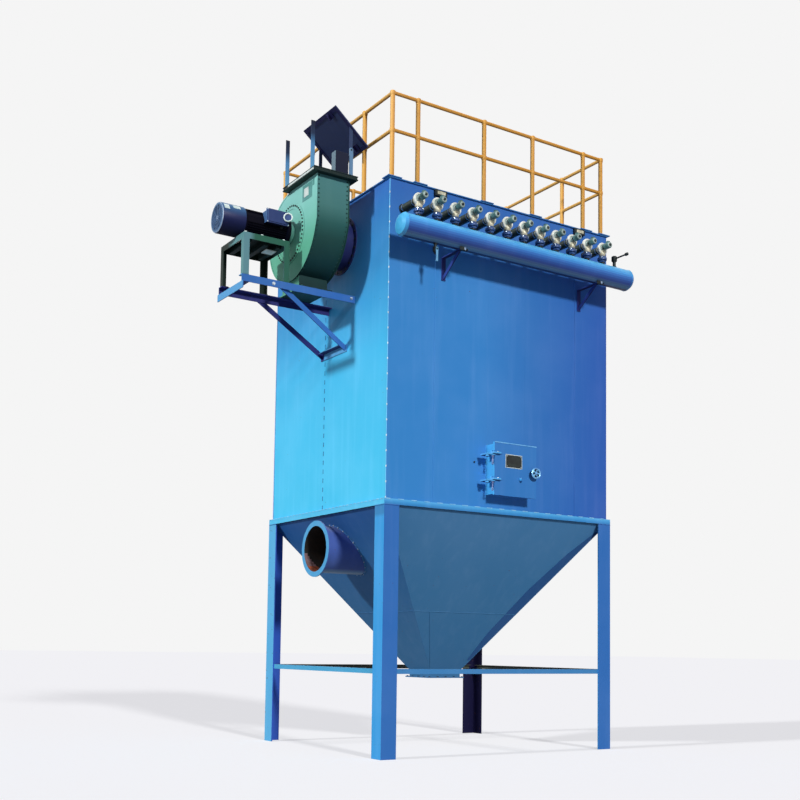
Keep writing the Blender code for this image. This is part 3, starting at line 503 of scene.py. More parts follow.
class RibbedTool(NodeTool):
    """A round run with even ribs along marked lines: weld beads and corrugated hose."""

    NAME = "ribbed_run"
    SIZES = {"Radius": 0.005, "Rib Pitch": 0.018, "Rib Depth": 0.18, "Step": 0.006, "Sides": 6}

    def grow(self) -> bpy.types.NodeSocket:
        """Add the nodes that swell and narrow a round section along each line.

        Returns:
            The socket with the shapes.
        """
        line = add_node(self.tree, "GeometryNodeMeshToCurve", {"Mesh": self.given["Geometry"]})
        fine = add_node(self.tree, "GeometryNodeResampleCurve",
                        {"Curve": line.outputs[0], "Length": self.given["Step"]}, mode="LENGTH")
        along = add_node(self.tree, "GeometryNodeSplineParameter")
        turns = self.maths("DIVIDE", along.outputs["Length"], self.given["Rib Pitch"])
        wave = self.maths("SINE", self.maths("MULTIPLY", turns, 2 * math.pi))
        swell = self.maths("MULTIPLY_ADD", wave, self.given["Rib Depth"], 1.0)
        section = add_node(self.tree, "GeometryNodeCurvePrimitiveCircle",
                           {"Resolution": self.given["Sides"], "Radius": 1.0})
        skin = add_node(self.tree, "GeometryNodeCurveToMesh",
                        {"Curve": fine.outputs[0], "Profile Curve": section.outputs[0],
                         "Scale": self.maths("MULTIPLY", swell, self.given["Radius"]),
                         "Fill Caps": True})
        return skin.outputs[0]


class PipeTool(NodeTool):
    """Bent pipe along marked lines."""

    NAME = "bent_pipe"
    SIZES = {"Pipe Radius": 0.02, "Bend Radius": 0.08, "Sides": 14, "Bend Steps": 5}

    def grow(self) -> bpy.types.NodeSocket:
        """Add the nodes that round each corner and sweep the pipe's section.

        Returns:
            The socket with the shapes.
        """
        line = add_node(self.tree, "GeometryNodeMeshToCurve", {"Mesh": self.given["Geometry"]})
        bent = add_node(self.tree, "GeometryNodeFilletCurve",
                        {"Curve": line.outputs[0], "Count": self.given["Bend Steps"],
                         "Radius": self.given["Bend Radius"], "Limit Radius": True}, mode="POLY")
        section = add_node(self.tree, "GeometryNodeCurvePrimitiveCircle",
                           {"Resolution": self.given["Sides"],
                            "Radius": self.given["Pipe Radius"]})
        skin = add_node(self.tree, "GeometryNodeCurveToMesh",
                        {"Curve": bent.outputs[0], "Profile Curve": section.outputs[0],
                         "Fill Caps": True})
        return skin.outputs[0]


BOLTS, FINS, RIBBED, PIPES = BoltTool(), FinTool(), RibbedTool(), PipeTool()


def point_marks(places: Iterable[Point], outward: Point | Sequence[Vector],
                run: Point = (1.0, 0.0, 0.0)) -> bpy.types.Mesh:
    """Make the marks that bolts and fins stand on.

    Args:
        places: Where they stand.
        outward: The direction they face, one for all or one for each.
        run: The direction that a fin's length follows.

    Returns:
        A mesh of loose points with the attributes "facing" and "run".
    """
    points = [Vector(p) for p in places]
    each = list(outward) if isinstance(outward[0], Vector) else [Vector(outward)] * len(points)
    mesh = bpy.data.meshes.new("marks")
    mesh.from_pydata(points, [], [])
    for name, vectors in (("facing", each), ("run", [Vector(run)] * len(points))):
        layer = mesh.attributes.new(name, "FLOAT_VECTOR", "POINT")
        layer.data.foreach_set("vector", [part for v in vectors for part in v])
    return mesh


def line_marks(lines: Iterable[Sequence[Point]], closed: bool = False) -> bpy.types.Mesh:
    """Make the marks that pipes and beads follow.

    Args:
        lines: Each line's points.
        closed: Whether each line returns to its start.

    Returns:
        A mesh of loose edges.
    """
    points, edges = [], []
    for line in lines:
        first = len(points)
        points += [Vector(p) for p in line]
        edges += [(i, i + 1) for i in range(first, len(points) - 1)]
        if closed:
            edges.append((len(points) - 1, first))
    mesh = bpy.data.meshes.new("marks")
    mesh.from_pydata(points, edges, [])
    return mesh


def stitches(start: Point, end: Point, length: float = 0.06, gap: float = 0.05
             ) -> list[list[Vector]]:
    """Cut a seam into short welds.

    Args:
        start: One end of the seam.
        end: Its other end.
        length: Length of a weld.
        gap: Space between two welds.

    Returns:
        The two ends of each weld.
    """
    low, run = Vector(start), Vector(end) - Vector(start)
    count = max(1, int(run.length / (length + gap)))
    step, way = run.length / count, run.normalized()
    return [[low + way * i * step, low + way * (i * step + length)] for i in range(count)]


# ---- finishes -----------------------------------------------------------------------------


class Guide(Enum):
    """What a change of colour follows: a place in metres, or the way that a surface faces."""

    PLACE = "Object"
    FACING = "Normal"


class Brush:
    """A material in the making, with its shader and its texture coordinates."""

    def __init__(self, name: str) -> None:
        """Start a material.

        Args:
            name: Its name.
        """
        self.material = bpy.data.materials.new(name)
        self.material.use_nodes = True
        self.tree = self.material.node_tree
        self.shader = self.tree.nodes["Principled BSDF"].inputs
        self.place = add_node(self.tree, "ShaderNodeTexCoord").outputs

    def add(self, kind: str, given: dict[Any, Any], out: int = 0, **settings: Any
            ) -> bpy.types.NodeSocket:
        """Add a node and return one of its outputs."""
        return add_node(self.tree, kind, given, **settings).outputs[out]

    def along(self, guide: Guide, axis: Axis) -> bpy.types.NodeSocket:
        """Return the place, or the way the surface faces, along one axis."""
        return self.add("ShaderNodeSeparateXYZ", {0: self.place[guide.value]}, axis.value)

    def noise(self, scale: float, detail: float, **more: Any) -> bpy.types.NodeSocket:
        """Add a noise whose scale is in patches to the metre, and return its value."""
        return self.add("ShaderNodeTexNoise", {"Vector": self.place["Object"], "Scale": scale,
                                               "Detail": detail, **more})

    def mapped(self, value: bpy.types.NodeSocket, span: Point2 = (0.0, 1.0),
               result: Point2 = (0.0, 1.0)) -> bpy.types.NodeSocket:
        """Return a value stretched from one span to another and clamped there."""
        return self.add("ShaderNodeMapRange",
                        {"Value": value, "From Min": span[0], "From Max": span[1],
                         "To Min": result[0], "To Max": result[1]})

    def link(self, sockets: dict[str, bpy.types.NodeSocket]) -> None:
        """Link sockets to the shader's inputs by their names."""
        for label, socket in sockets.items():
            self.tree.links.new(socket, self.shader[label])


@dataclass(frozen=True)
class Fade:
    """A change of colour along an axis, met at stops of (amount, hex colour)."""

    axis: Axis
    stops: tuple[tuple[float, str], ...]
    guide: Guide = Guide.PLACE

    def share(self, brush: Brush) -> bpy.types.NodeSocket:
        """Return the share that runs from 0 at the first stop to 1 at the last."""
        return brush.mapped(brush.along(self.guide, self.axis),
                            (self.stops[0][0], self.stops[-1][0]))

    def colour(self, brush: Brush) -> bpy.types.NodeSocket:
        """Add the fade's nodes.

        Args:
            brush: The material in the making.

        Returns:
            The socket with the colour.
        """
        ramp = add_node(brush.tree, "ShaderNodeValToRGB", {0: self.share(brush)})
        low, high = self.stops[0][0], self.stops[-1][0]
        elements = ramp.color_ramp.elements
        elements[0].color, elements[1].color = (linear(self.stops[i][1]) for i in (0, -1))
        for amount, code in self.stops[1:-1]:
            elements.new((amount - low) / (high - low)).color = linear(code)
        return ramp.outputs[0]


Coat = str | Fade


def coat_colour(coat: Coat, brush: Brush) -> Any:
    """Return a coat's colour, as a plain value or as the socket of its fade."""
    return coat.colour(brush) if isinstance(coat, Fade) else linear(coat)


class Finish:
    """What every finish shares: one material, made on its first use."""

    name: str

    def material(self) -> bpy.types.Material:
        """Make the finish's material on its first use.

        Returns:
            The material.
        """
        made = bpy.data.materials.get(self.name)
        if made is None:
            brush = Brush(self.name)
            self.fill(brush)
            made = brush.material
        return made

    def fill(self, brush: Brush) -> None:
        """Add the finish's own nodes."""
        raise NotImplementedError


@dataclass(frozen=True)
class Enamel(Finish):
    """Alkyd enamel sprayed on primed steel.

    It gives the eye an even satin colour that fades in soft patches and in streaks that run
    down, dust on ledges, waves in thin sheet, a slight orange peel and rust specks at chips.
    Its coats paint light on faces towards -X and paint shade on faces that point down.
    """

    name: str
    body: Coat
    # Painted light and shade: the colour of faces towards -X, mostly lighter where the side sun
    # falls.
    sun_side_painted_light: Coat = ""
    # Painted shade: the colour of faces that point down.
    under: Coat = ""
    over: Fade | None = None
    worn: float = 0.5
    dust: float = 0.35
    rust: float = 0.02
    roughness: float = 0.45
    shine: float = 0.14
    wave: float = 0.004

    def fill(self, brush: Brush) -> None:
        """Add the body colour, the coats and wear over it, the gloss and the relief.

        Args:
            brush: The material in the making.
        """
        drift = brush.noise(12.0, 4.0)
        colour = coat_colour(self.body, brush)
        for share, coat in self.coats(brush) + self.wear(brush, drift):
            if coat is None:
                coat = brush.add("ShaderNodeHueSaturation",
                                 {"Saturation": 0.94, "Value": 1.10, "Color": colour})
            colour = brush.add("ShaderNodeMix", {0: share, 6: colour, 7: coat}, 2,
                               data_type="RGBA")
        gloss = brush.mapped(drift, result=(self.roughness - 0.08, self.roughness + 0.12))
        brush.shader["Specular IOR Level"].default_value = self.shine
        brush.link({"Base Color": colour, "Roughness": gloss, "Normal": self.relief(brush)})

    def coats(self, brush: Brush) -> list[tuple[bpy.types.NodeSocket, Any]]:
        """Add the coats that lie over the body colour.

        Args:
            brush: The material in the making.

        Returns:
            Each coat's share and colour: painted light on the -X side, painted shade underneath,
            and the fade along an axis.
        """
        found = []
        for coat, axis, span in ((self.sun_side_painted_light, Axis.X, (-0.35, -0.85)),
                                 (self.under, Axis.Z, (-0.25, -0.75))):
            if coat:
                share = brush.mapped(brush.along(Guide.FACING, axis), span)
                found.append((share, coat_colour(coat, brush)))
        if self.over:
            found.append((self.over.share(brush), linear(self.over.stops[-1][1])))
        return found

    def wear(self, brush: Brush, drift: bpy.types.NodeSocket
             ) -> list[tuple[bpy.types.NodeSocket, Any]]:
        """Add fading, streaks, dust and rust.

        Args:
            brush: The material in the making.
            drift: The noise that dust lies in.

        Returns:
            Each one's share and colour. No colour stands for a paler tone of the coat itself.
        """
        # Sun-faded patches 0.7 m across, and streaks 0.1 m wide that run down 1.5 m.
        patch = brush.noise(1.4, 5.0)
        narrow = brush.add("ShaderNodeMapping", {"Vector": brush.place["Object"],
                                                 "Scale": (10.0, 10.0, 0.65)})
        streak = brush.noise(1.0, 3.0, Vector=narrow)
        # Rust specks 8 to 15 mm across, because real ones of 2 mm wouldn't show.
        chip = brush.noise(32.0, 2.0, Roughness=0.6)
        found = [(brush.mapped(noise, span, (0.0, most)), coat) for noise, span, most, coat in (
            (patch, (0.42, 0.72), self.worn, None), (streak, (0.50, 0.78), self.worn, None),
            (chip, (0.80 - 2 * self.rust, 0.83 - 2 * self.rust), 1.0, linear("5A3A2C")))]
        # Dust settles on what faces up, in drifts 80 mm across.
        level = brush.mapped(brush.along(Guide.FACING, Axis.Z), (0.6, 0.95),
                             (0.0, 2 * self.dust))
        share = brush.add("ShaderNodeMath", {0: level, 1: drift}, operation="MULTIPLY")
        return found + [(share, linear("A9AFAE"))]

    def relief(self, brush: Brush) -> bpy.types.NodeSocket:
        """Add the bumps of the sheet and of the paint.

        Args:
            brush: The material in the making.

        Returns:
            The socket with the normal.
        """
        # Sheet waves 0.9 m long, and orange peel drawn 20 mm wide, ten times its real size.
        sheet, peel = brush.noise(1.1, 1.0), brush.noise(50.0, 2.0)
        waves = brush.add("ShaderNodeBump", {"Distance": self.wave * 4, "Height": sheet})
        return brush.add("ShaderNodeBump", {"Strength": 0.5, "Distance": 0.0006,
                                            "Height": peel, "Normal": waves})


@dataclass(frozen=True)
class BareMetal(Finish):
    """Bare, plated or cast metal, moulded plastic and rubber.

    It gives the eye a plain tone broken by stains, with the gloss and the fine grain of how
    it was made.
    """

    name: str
    colour: str
    stain: str
    roughness: float = 0.35
    metallic: float = 1.0
    grain: float = 90.0

    def fill(self, brush: Brush) -> None:
        """Add the stained colour, the gloss and the grain.

        Args:
            brush: The material in the making.
        """
        # Stains 60 mm across, and casting skin or scratches a few millimetres wide.
        stain = brush.mapped(brush.noise(16.0, 5.0), (0.42, 0.70))
        colour = brush.add("ShaderNodeMix", {0: stain, 6: linear(self.colour),
                                             7: linear(self.stain)}, 2, data_type="RGBA")
        fine = brush.noise(self.grain, 3.0)
        gloss = brush.mapped(fine, result=(self.roughness - 0.12, self.roughness + 0.15))
        skin = brush.add("ShaderNodeBump", {"Strength": 0.4, "Distance": 0.0008, "Height": fine})
        brush.shader["Metallic"].default_value = self.metallic
        brush.link({"Base Color": colour, "Roughness": gloss, "Normal": skin})


FRONT_BLUE = Enamel(
    "blue_enamel_front_walls",
    Fade(Axis.X, ((-0.8, "3786C8"), (0.4, "3884C8"), (1.1, "3474BA"), (2.2, "305FB0"))),
    over=Fade(Axis.Z, ((5.0, "3474BA"), (5.9, "346AB4"))))
LEFT_BLUE = Enamel(
    "sky_blue_enamel_left_wall",
    Fade(Axis.Z, ((2.6, "4ACDF4"), (3.7, "4BC9F4"), (4.2, "46C3F2"), (4.7, "40ABE2"),
                  (5.1, "3D9AD6"), (5.55, "398ACC"), (5.96, "3876CA"))))
BACK_BLUE = Enamel("blue_enamel_back_walls", "3678BE")
SEAM_BLUE = Enamel("dirty_blue_enamel_seams", "1E4C80", sun_side_painted_light="1C5688", rust=0.06)
CORNER_BLUE = Enamel("bright_worn_enamel_corner", "4C9CD6", sun_side_painted_light="7CD2F6", rust=0.0)
DUCT_BLUE = Enamel("shaded_blue_enamel_duct", "20285A", wave=0.001)
ROOF_BLUE = Enamel("dusty_blue_enamel_roof", "3878B4", dust=0.28, rust=0.05)
# Painted light: the band lightens towards its top edge as a painted highlight, and its underside
# is painted shade.
BAND_BLUE = Enamel(
    "blue_enamel_frame_band",
    Fade(Axis.Z, ((2.562, "3480BC"), (2.590, "4098D4"), (2.615, "58B0E4"))),
    sun_side_painted_light="55C6EE", under="12203C")
# Painted shadow: the lit side of each leg is darker at its top, under the frame band.
LEG_BLUE = Enamel("blue_enamel_angle_legs", "316DB4",
                  sun_side_painted_light=Fade(Axis.Z, ((2.43, "3AA0E0"), (2.47, "3686BE"))), wave=0.002, rust=0.04)
# Painted shade: the faces towards the front are darker, as they lie in shade.
BACK_LEG_BLUE = Enamel("worn_blue_enamel_back_leg_with_painted_shade",
                       Fade(Axis.Y, ((-0.5, "2E56B4"), (0.0, "2E68B0")), Guide.FACING),
                       sun_side_painted_light="58B2E0", wave=0.002, rust=0.05)
# Painted shade: the far leg is near black on its faces towards the front and towards -X, as it
# stands in shade.
FAR_LEG_BLUE = Enamel("blue_enamel_far_leg_painted_shade",
                      Fade(Axis.Y, ((-0.5, "151437"), (0.0, "2E68B0")), Guide.FACING),
                      sun_side_painted_light="151437", wave=0.002, rust=0.04)
HOPPER_BLUE = Enamel(
    "grey_blue_enamel_hopper", Fade(Axis.Z, ((0.9, "3A6F99"), (1.5, "3C749E"), (2.5, "457CA8"))),
    sun_side_painted_light=Fade(Axis.Z, ((1.2, "3A719C"), (1.9, "2F689A"), (2.5, "245898"))), dust=0.2, rust=0.03)
# Painted shade: a dark sheet along the hopper's front right corner.
CORNER_SHADE_BLUE = Enamel("painted_shade_corner_sheet", "2C5688", sun_side_painted_light="2C5688", wave=0.001)
# Painted reflection: the pipe's underside is pale with the reflected bright ground, darker just
# above it.
INLET_BLUE = Enamel("blue_enamel_inlet_pipe",
                    Fade(Axis.Z, ((-1.0, "8CA4B4"), (-0.93, "6484A8"), (-0.84, "405894"),
                                  (0.0, "4660A8")), Guide.FACING),
                    sun_side_painted_light="4FA4D4", rust=0.04)
TANK_BLUE = Enamel(
    "glossy_blue_enamel_tank",
    # Painted light by facing: shade on the underside, a painted reflection of the bright ground as
    # a pale band low on the round side, and a painted highlight on top.
    Fade(Axis.Z, ((-1.0, "1E2450"), (-0.985, "2A3A60"), (-0.96, "547C9C"), (-0.82, "547C9C"),
                  (-0.74, "2C4484"), (-0.5, "2B4E96"), (-0.1, "306CB8"), (0.25, "3E96DA"),
                  (0.6, "4CB0E8"), (1.0, "60C4F2")), Guide.FACING),
    sun_side_painted_light="44B0E2", roughness=0.3, shine=0.3, wave=0.001, dust=0.05)
BRACKET_BLUE = Enamel("blue_enamel_brackets", "3268AC", sun_side_painted_light="5AA6DA", under="262F66",
                      wave=0.001)
BRACKET_DARK = Enamel("shaded_blue_enamel_far_bracket", "2A2C68", sun_side_painted_light="34468C", wave=0.001)
# Painted shade: the header's brackets are dark because they sit in the header's shadow.
HEADER_BRACKET_BLUE = Enamel("blue_enamel_header_brackets_painted_shade", "262E6C", sun_side_painted_light="324A94",
                             under="1E2450", wave=0.001)
DOOR_BLUE = Enamel("blue_enamel_door", "367ABE", sun_side_painted_light="46ACE4", dust=0.8, wave=0.002)
STRAP_BLUE = Enamel("bright_blue_enamel_straps", "4EA2DC", sun_side_painted_light="4EA2DC", under="1E3270",
                    wave=0.0)
BRACE_TEAL = Enamel("worn_teal_enamel_braces", "3F82B8", sun_side_painted_light="48A6D0", under="24505E",
                    wave=0.001, rust=0.04)
BRACE_DARK = Enamel("dark_enamel_far_braces", "4A5048", wave=0.001, rust=0.05)
YELLOW = Enamel("orange_yellow_enamel_railing", "CE9239", sun_side_painted_light="E2B05A", wave=0.0, dust=0.1,
                rust=0.03)
# Painted shade: the scroll darkens towards the bottom, where its band turns under; the lighter -X
# side plate is painted light.
GREEN = Enamel(
    "green_enamel_fan_casing",
    Fade(Axis.Z, ((4.9, "16302F"), (5.15, "1B3D3A"), (5.35, "224842"), (5.5, "2A5A54"),
                  (5.68, "467872"), (5.95, "4A7E7C"))),
    sun_side_painted_light=Fade(Axis.Z, ((4.9, "58A48A"), (5.3, "64BA9A"), (5.6, "7ECCBA"), (5.95, "94DCD2"))),
    wave=0.002)
PATCH_GREEN = Enamel("repainted_green_enamel_patch", "3A7468", sun_side_painted_light="5E9E98", wave=0.0)
DARK_GREEN = Enamel("dark_green_enamel_rims", "1E403B", sun_side_painted_light="244E46", wave=0.0)
FLANGE_GREEN = Enamel("blackened_green_enamel_flange", "1A2A28", sun_side_painted_light="1C2C2A", wave=0.0,
                      dust=0.15)
# Painted shade: the stand is dark on its undersides and towards its far side, from y -0.10.
STAND_GREEN = Enamel(
    "green_enamel_motor_stand", Fade(Axis.X, ((-2.04, "5C888E"), (-1.98, "285C4A"))),
    sun_side_painted_light="5E9294", under="14241F", wave=0.001,
    over=Fade(Axis.Y, ((-0.10, "16261F"), (0.05, "16261F"))))
NAVY = Enamel("navy_enamel_rain_cap", "303F5E", sun_side_painted_light="2C3860", wave=0.002, dust=0.2)
NAVY_EDGE = Enamel("purple_navy_enamel_cap_frame", "20204A", sun_side_painted_light="222650", wave=0.0, dust=0.2)
# Painted light and shade by facing: the fan cover lightens towards its top and darkens underneath.
MOTOR_NAVY = Enamel("navy_enamel_motor_cover",
                    Fade(Axis.Z, ((-1.0, "0D0F28"), (0.0, "162050"), (0.7, "3C668E"),
                                  (1.0, "5D87A4")), Guide.FACING),
                    sun_side_painted_light="54789C", wave=0.0, dust=0.2, shine=0.16)
GRILLE_BLUE = Enamel("grey_blue_enamel_grille", "3C5A80", sun_side_painted_light="506E94", wave=0.0)
MOTOR_DARK = Enamel("black_blue_enamel_motor_body", "0A0915", sun_side_painted_light="0C1020", wave=0.0,
                    worn=0.3, dust=0.0, rust=0.0, shine=0.04)
BOX_NAVY = Enamel("navy_enamel_terminal_box", "2C3C6C", sun_side_painted_light="4A70A0", under="161A38",
                  wave=0.0)
POST_BLUE = Enamel("light_blue_enamel_cap_posts",
                   Fade(Axis.Z, ((6.0, "68A6CC"), (6.3, "4F86B4"), (6.42, "20304C"),
                                 (6.56, "141A2E"))), wave=0.0)
EYE_BLUE = Enamel("steel_blue_enamel_eye_posts", "6488A8", sun_side_painted_light="7C98AC", wave=0.0)
# Painted shade: the block is dark navy on all but its -X side, whose grey green is painted light.
BLOCK_GREEN = Enamel("grey_green_enamel_hinge_block", "141A30", sun_side_painted_light="708894", wave=0.0)
CREAM = BareMetal("die_cast_aluminium_valves", "CFCAB0", "8C8E78", roughness=0.5,
                  metallic=0.4)
ZINC = BareMetal("zinc_plated_steel", "B9C4CC", "7E8A94", roughness=0.35)
DARK_STEEL = BareMetal("oiled_dark_steel_bolts", "242C2C", "12181C", roughness=0.5,
                       metallic=0.6)
COIL = BareMetal("grey_green_moulded_coil", "567E7A", "2A4644", roughness=0.35, metallic=0.0)
CAP_GREY = BareMetal("grey_green_cast_caps", "9DB0AA", "6A7F78", roughness=0.5, metallic=0.1)
PALE_RIM = BareMetal("pale_cast_bonnet_rims", "E6E8DC", "B9C0B4", roughness=0.5, metallic=0.1)
COUPLING = BareMetal("blue_painted_couplings", "2A5088", "182C54", roughness=0.5, metallic=0.1)
RUBBER = BareMetal("black_green_rubber_hose", "0B2823", "060F10", roughness=0.6, metallic=0.0)
TEAL_STEEL = BareMetal("teal_painted_tube", "3E7E98", "28506C", roughness=0.4, metallic=0.2)
WHEEL_STEEL = BareMetal("pale_blue_cast_handwheel", "7CC0EC", "3A64A8", roughness=0.3,
                        metallic=0.2)
PIN_STEEL = BareMetal("dull_zinc_hinge_pins", "6E84B4", "3C5080", roughness=0.45, metallic=0.1)
PLATE_BLACK = BareMetal("black_anodised_plate", "161A1A", "26302C", roughness=0.4,
                        metallic=0.3)
PALE_BLUE = BareMetal("pale_blue_worn_edge", "A6B8CC", "6E88A8", roughness=0.4, metallic=0.1)
LIP_BLUE = BareMetal("bright_blue_painted_highlight_lip", "7CC4F0", "4A98D4", roughness=0.4, metallic=0.1)
# Painted highlight: pale weld beads along the frame band's top edge.
BAND_HIGHLIGHT_BLUE = BareMetal("pale_blue_painted_highlight_weld", "9CD8F2", "5CB2E2", roughness=0.5, metallic=0.0)
PALE_PLATE = BareMetal("pale_blank_plate", "E0ECE6", "BCD0CA", roughness=0.5, metallic=0.0)
RUST = BareMetal("raw_rusty_steel", "A0502E", "3A221C", roughness=0.8, metallic=0.2, grain=40.0)
# Painted light and shade inside the inlet bore: a lit grey, and a dark steel for the unlit part.
RUBBED = BareMetal("grey_steel_painted_bore_light", "7C6468", "643A2C", roughness=0.7, metallic=0.1,
                   grain=40.0)
SOOT = BareMetal("dark_steel_painted_bore_shade", "15110F", "241812", roughness=0.8, metallic=0.2, grain=40.0)


# ---- placing pieces -----------------------------------------------------------------------


def add_piece(name: str, mesh: bpy.types.Mesh, finishes: Sequence[Finish],
              body: Body = Body.MACHINE, replaces: Sequence[str] = ()
              ) -> bpy.types.Object:
    """Make a finished mesh a piece of the machine.

    Args:
        name: The piece's name.
        mesh: Its mesh, counted from the middle of the housing.
        finishes: Its finishes in the order of its material numbers, or none if it is dressed.
        body: The body it rides on.
        replaces: The CAD nodes it stands for.

    Returns:
        The piece.
    """
    mesh.transform(Matrix.Translation(SHIFT))
    mesh.name = name
    for finish in finishes:
        mesh.materials.append(finish.material())
    piece = bpy.data.objects.new(name, mesh)
    bpy.context.scene.collection.objects.link(piece)
    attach(piece, body.value)
    if replaces:
        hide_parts(*replaces)
    LOG.info("%s: %d faces on %s", name, len(mesh.polygons), body.value)
    return piece


def smoothed(node: str) -> bpy.types.Mesh:
    """Copy a CAD node's mesh with its loose triangles joined, so that it can be shaded smooth.

    Args:
        node: The node's name.

    Returns:
        The copy, counted from the middle of the housing.
    """
    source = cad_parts[node]
    shape = Shape()
    shape.mesh.from_mesh(source.data)
    shape.mesh.transform(Matrix.Translation(-SHIFT) @ source.matrix_world)
    bmesh.ops.remove_doubles(shape.mesh, verts=shape.mesh.verts, dist=1e-5)
    bmesh.ops.dissolve_limit(shape.mesh, angle_limit=math.radians(1), verts=shape.mesh.verts,
                             edges=shape.mesh.edges)
    for face in shape.mesh.faces:
        face.material_index = 0
    return shape.done()


def dress(finish: Finish, *nodes: str) -> None:
    """Give CAD nodes a finish.

    Args:
        finish: The finish.
        nodes: Names of the nodes.
    """
    for name in nodes:
        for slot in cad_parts[name].material_slots:
            slot.material = finish.material()


@dataclass(frozen=True)
class Head:
    """Sizes of a bolt's or rivet's head and of the washer under it."""

    radius: float = 0.014
    height: float = 0.010
    washer: float = 0.018
    washer_height: float = 0.003
    sides: int = 6


def add_bolts(name: str, places: Iterable[Point], outward: Point | Sequence[Vector],
              finish: Finish = ZINC, head: Head = Head(), body: Body = Body.MACHINE
              ) -> bpy.types.Object:
    """Add bolt heads as one piece.

    Args:
        name: The piece's name.
        places: Where the heads sit.
        outward: Where they point, one direction for all or one for each.
        finish: The heads' finish.
        head: Their sizes.
        body: The body they ride on.

    Returns:
        The piece.
    """
    sizes = {"Head Radius": head.radius, "Head Height": head.height,
             "Washer Radius": head.washer, "Washer Height": head.washer_height,
             "Head Sides": head.sides}
    mesh = BOLTS.run(point_marks(places, outward), finish.material(), sizes)
    return add_piece(name, mesh, (), body)


def add_beads(name: str, lines: Iterable[Sequence[Point]], finish: Finish,
              closed: bool = False, radius: float = 0.005) -> bpy.types.Object:
    """Add weld beads as one piece.

    Args:
        name: The piece's name.
        lines: The seams that they follow.
        finish: The enamel over them.
        closed: Whether each seam returns to its start.
        radius: Radius of the bead.

    Returns:
        The piece.
    """
    mesh = RIBBED.run(line_marks(lines, closed), finish.material(),
                      {"Radius": radius, "Step": 0.009}, smooth=60.0)
    return add_piece(name, mesh, ())


# ---- sub-assemblies -----------------------------------------------------------------------


@dataclass
class Housing:
    """The filter housing: walls, roof, seams and small fittings under the roof."""

    half_width: float = 1.5
    half_depth: float = 1.27
    base: float = 2.62
    top: float = 5.958
    front_seams: tuple[float, ...] = (-0.92, 1.02)
    side_seam: float = 0.05

    def build(self) -> None:
        """Dress the walls and add their seams and fittings."""
        dress(FRONT_BLUE, "front_wall_left", "front_wall_right", "front_wall_under_door",
              "front_wall_over_door")
        dress(LEFT_BLUE, "left_wall")
        dress(BACK_BLUE, "right_wall", "back_wall")
        dress(ROOF_BLUE, "roof")
        self.seams()
        self.fittings()

    def seams(self) -> None:
        """Add weld beads at the plate joints and corners."""
        w, d, low, high = self.half_width, self.half_depth, self.base + 0.005, self.top
        front = [[(x, -d, low), (x, -d, high)] for x in self.front_seams]
        back = [[(x, d, low), (x, d, high)] for x in self.front_seams]
        corners = [[(w, -d, low), (w, -d, high)]]
        add_beads("housing_front_seams", front + corners, FRONT_BLUE)
        add_beads("housing_near_corner", [[(-w, -d, low), (-w, -d, high)]], CORNER_BLUE)
        near = (-w - 0.002, -d - 0.002)
        chips = stitches((*near, low), (*near, high), 0.018, 0.14)
        add_beads("housing_corner_chips", chips, PALE_PLATE, radius=0.006)
        corners = [[(sx * w, d, low), (sx * w, d, high)] for sx in (-1, 1)]
        right = [[(w, self.side_seam, low), (w, self.side_seam, high)]]
        add_beads("housing_back_seams", back + corners + right, BACK_BLUE)
        left = stitches((-w, self.side_seam, low), (-w, self.side_seam, high), 0.05, 0.05)
        add_beads("housing_left_seam", left, SEAM_BLUE)

    def fittings(self) -> None:
        """Add the two lifting lugs under the roof and the test point beside the door."""
        wall = -self.half_depth
        shape = Shape()
        for x, z in ((-0.880, 5.925), (1.065, 5.925)):
            shape.finish = 0
            shape.box((x - 0.075, wall - 0.040, z - 0.035), (x + 0.075, wall, z + 0.030))
            shape.finish = 1
            shape.box((x - 0.050, wall - 0.046, z - 0.020), (x + 0.050, wall - 0.038, z + 0.015))
        shape.finish = 0
        shape.turned(((0, 0.009), (0.014, 0.009), (0.018, 0.006)),
                     facing((-0.394, wall, 3.102), FRONT), 12)
        add_piece("housing_fittings", shape.done(0.002), (DARK_STEEL, CREAM))


class InletPart(IntEnum):
    """The inlet pipe's finishes, in the order of its material numbers."""

    PAINT, RUST, SOOT, RUBBED = range(4)


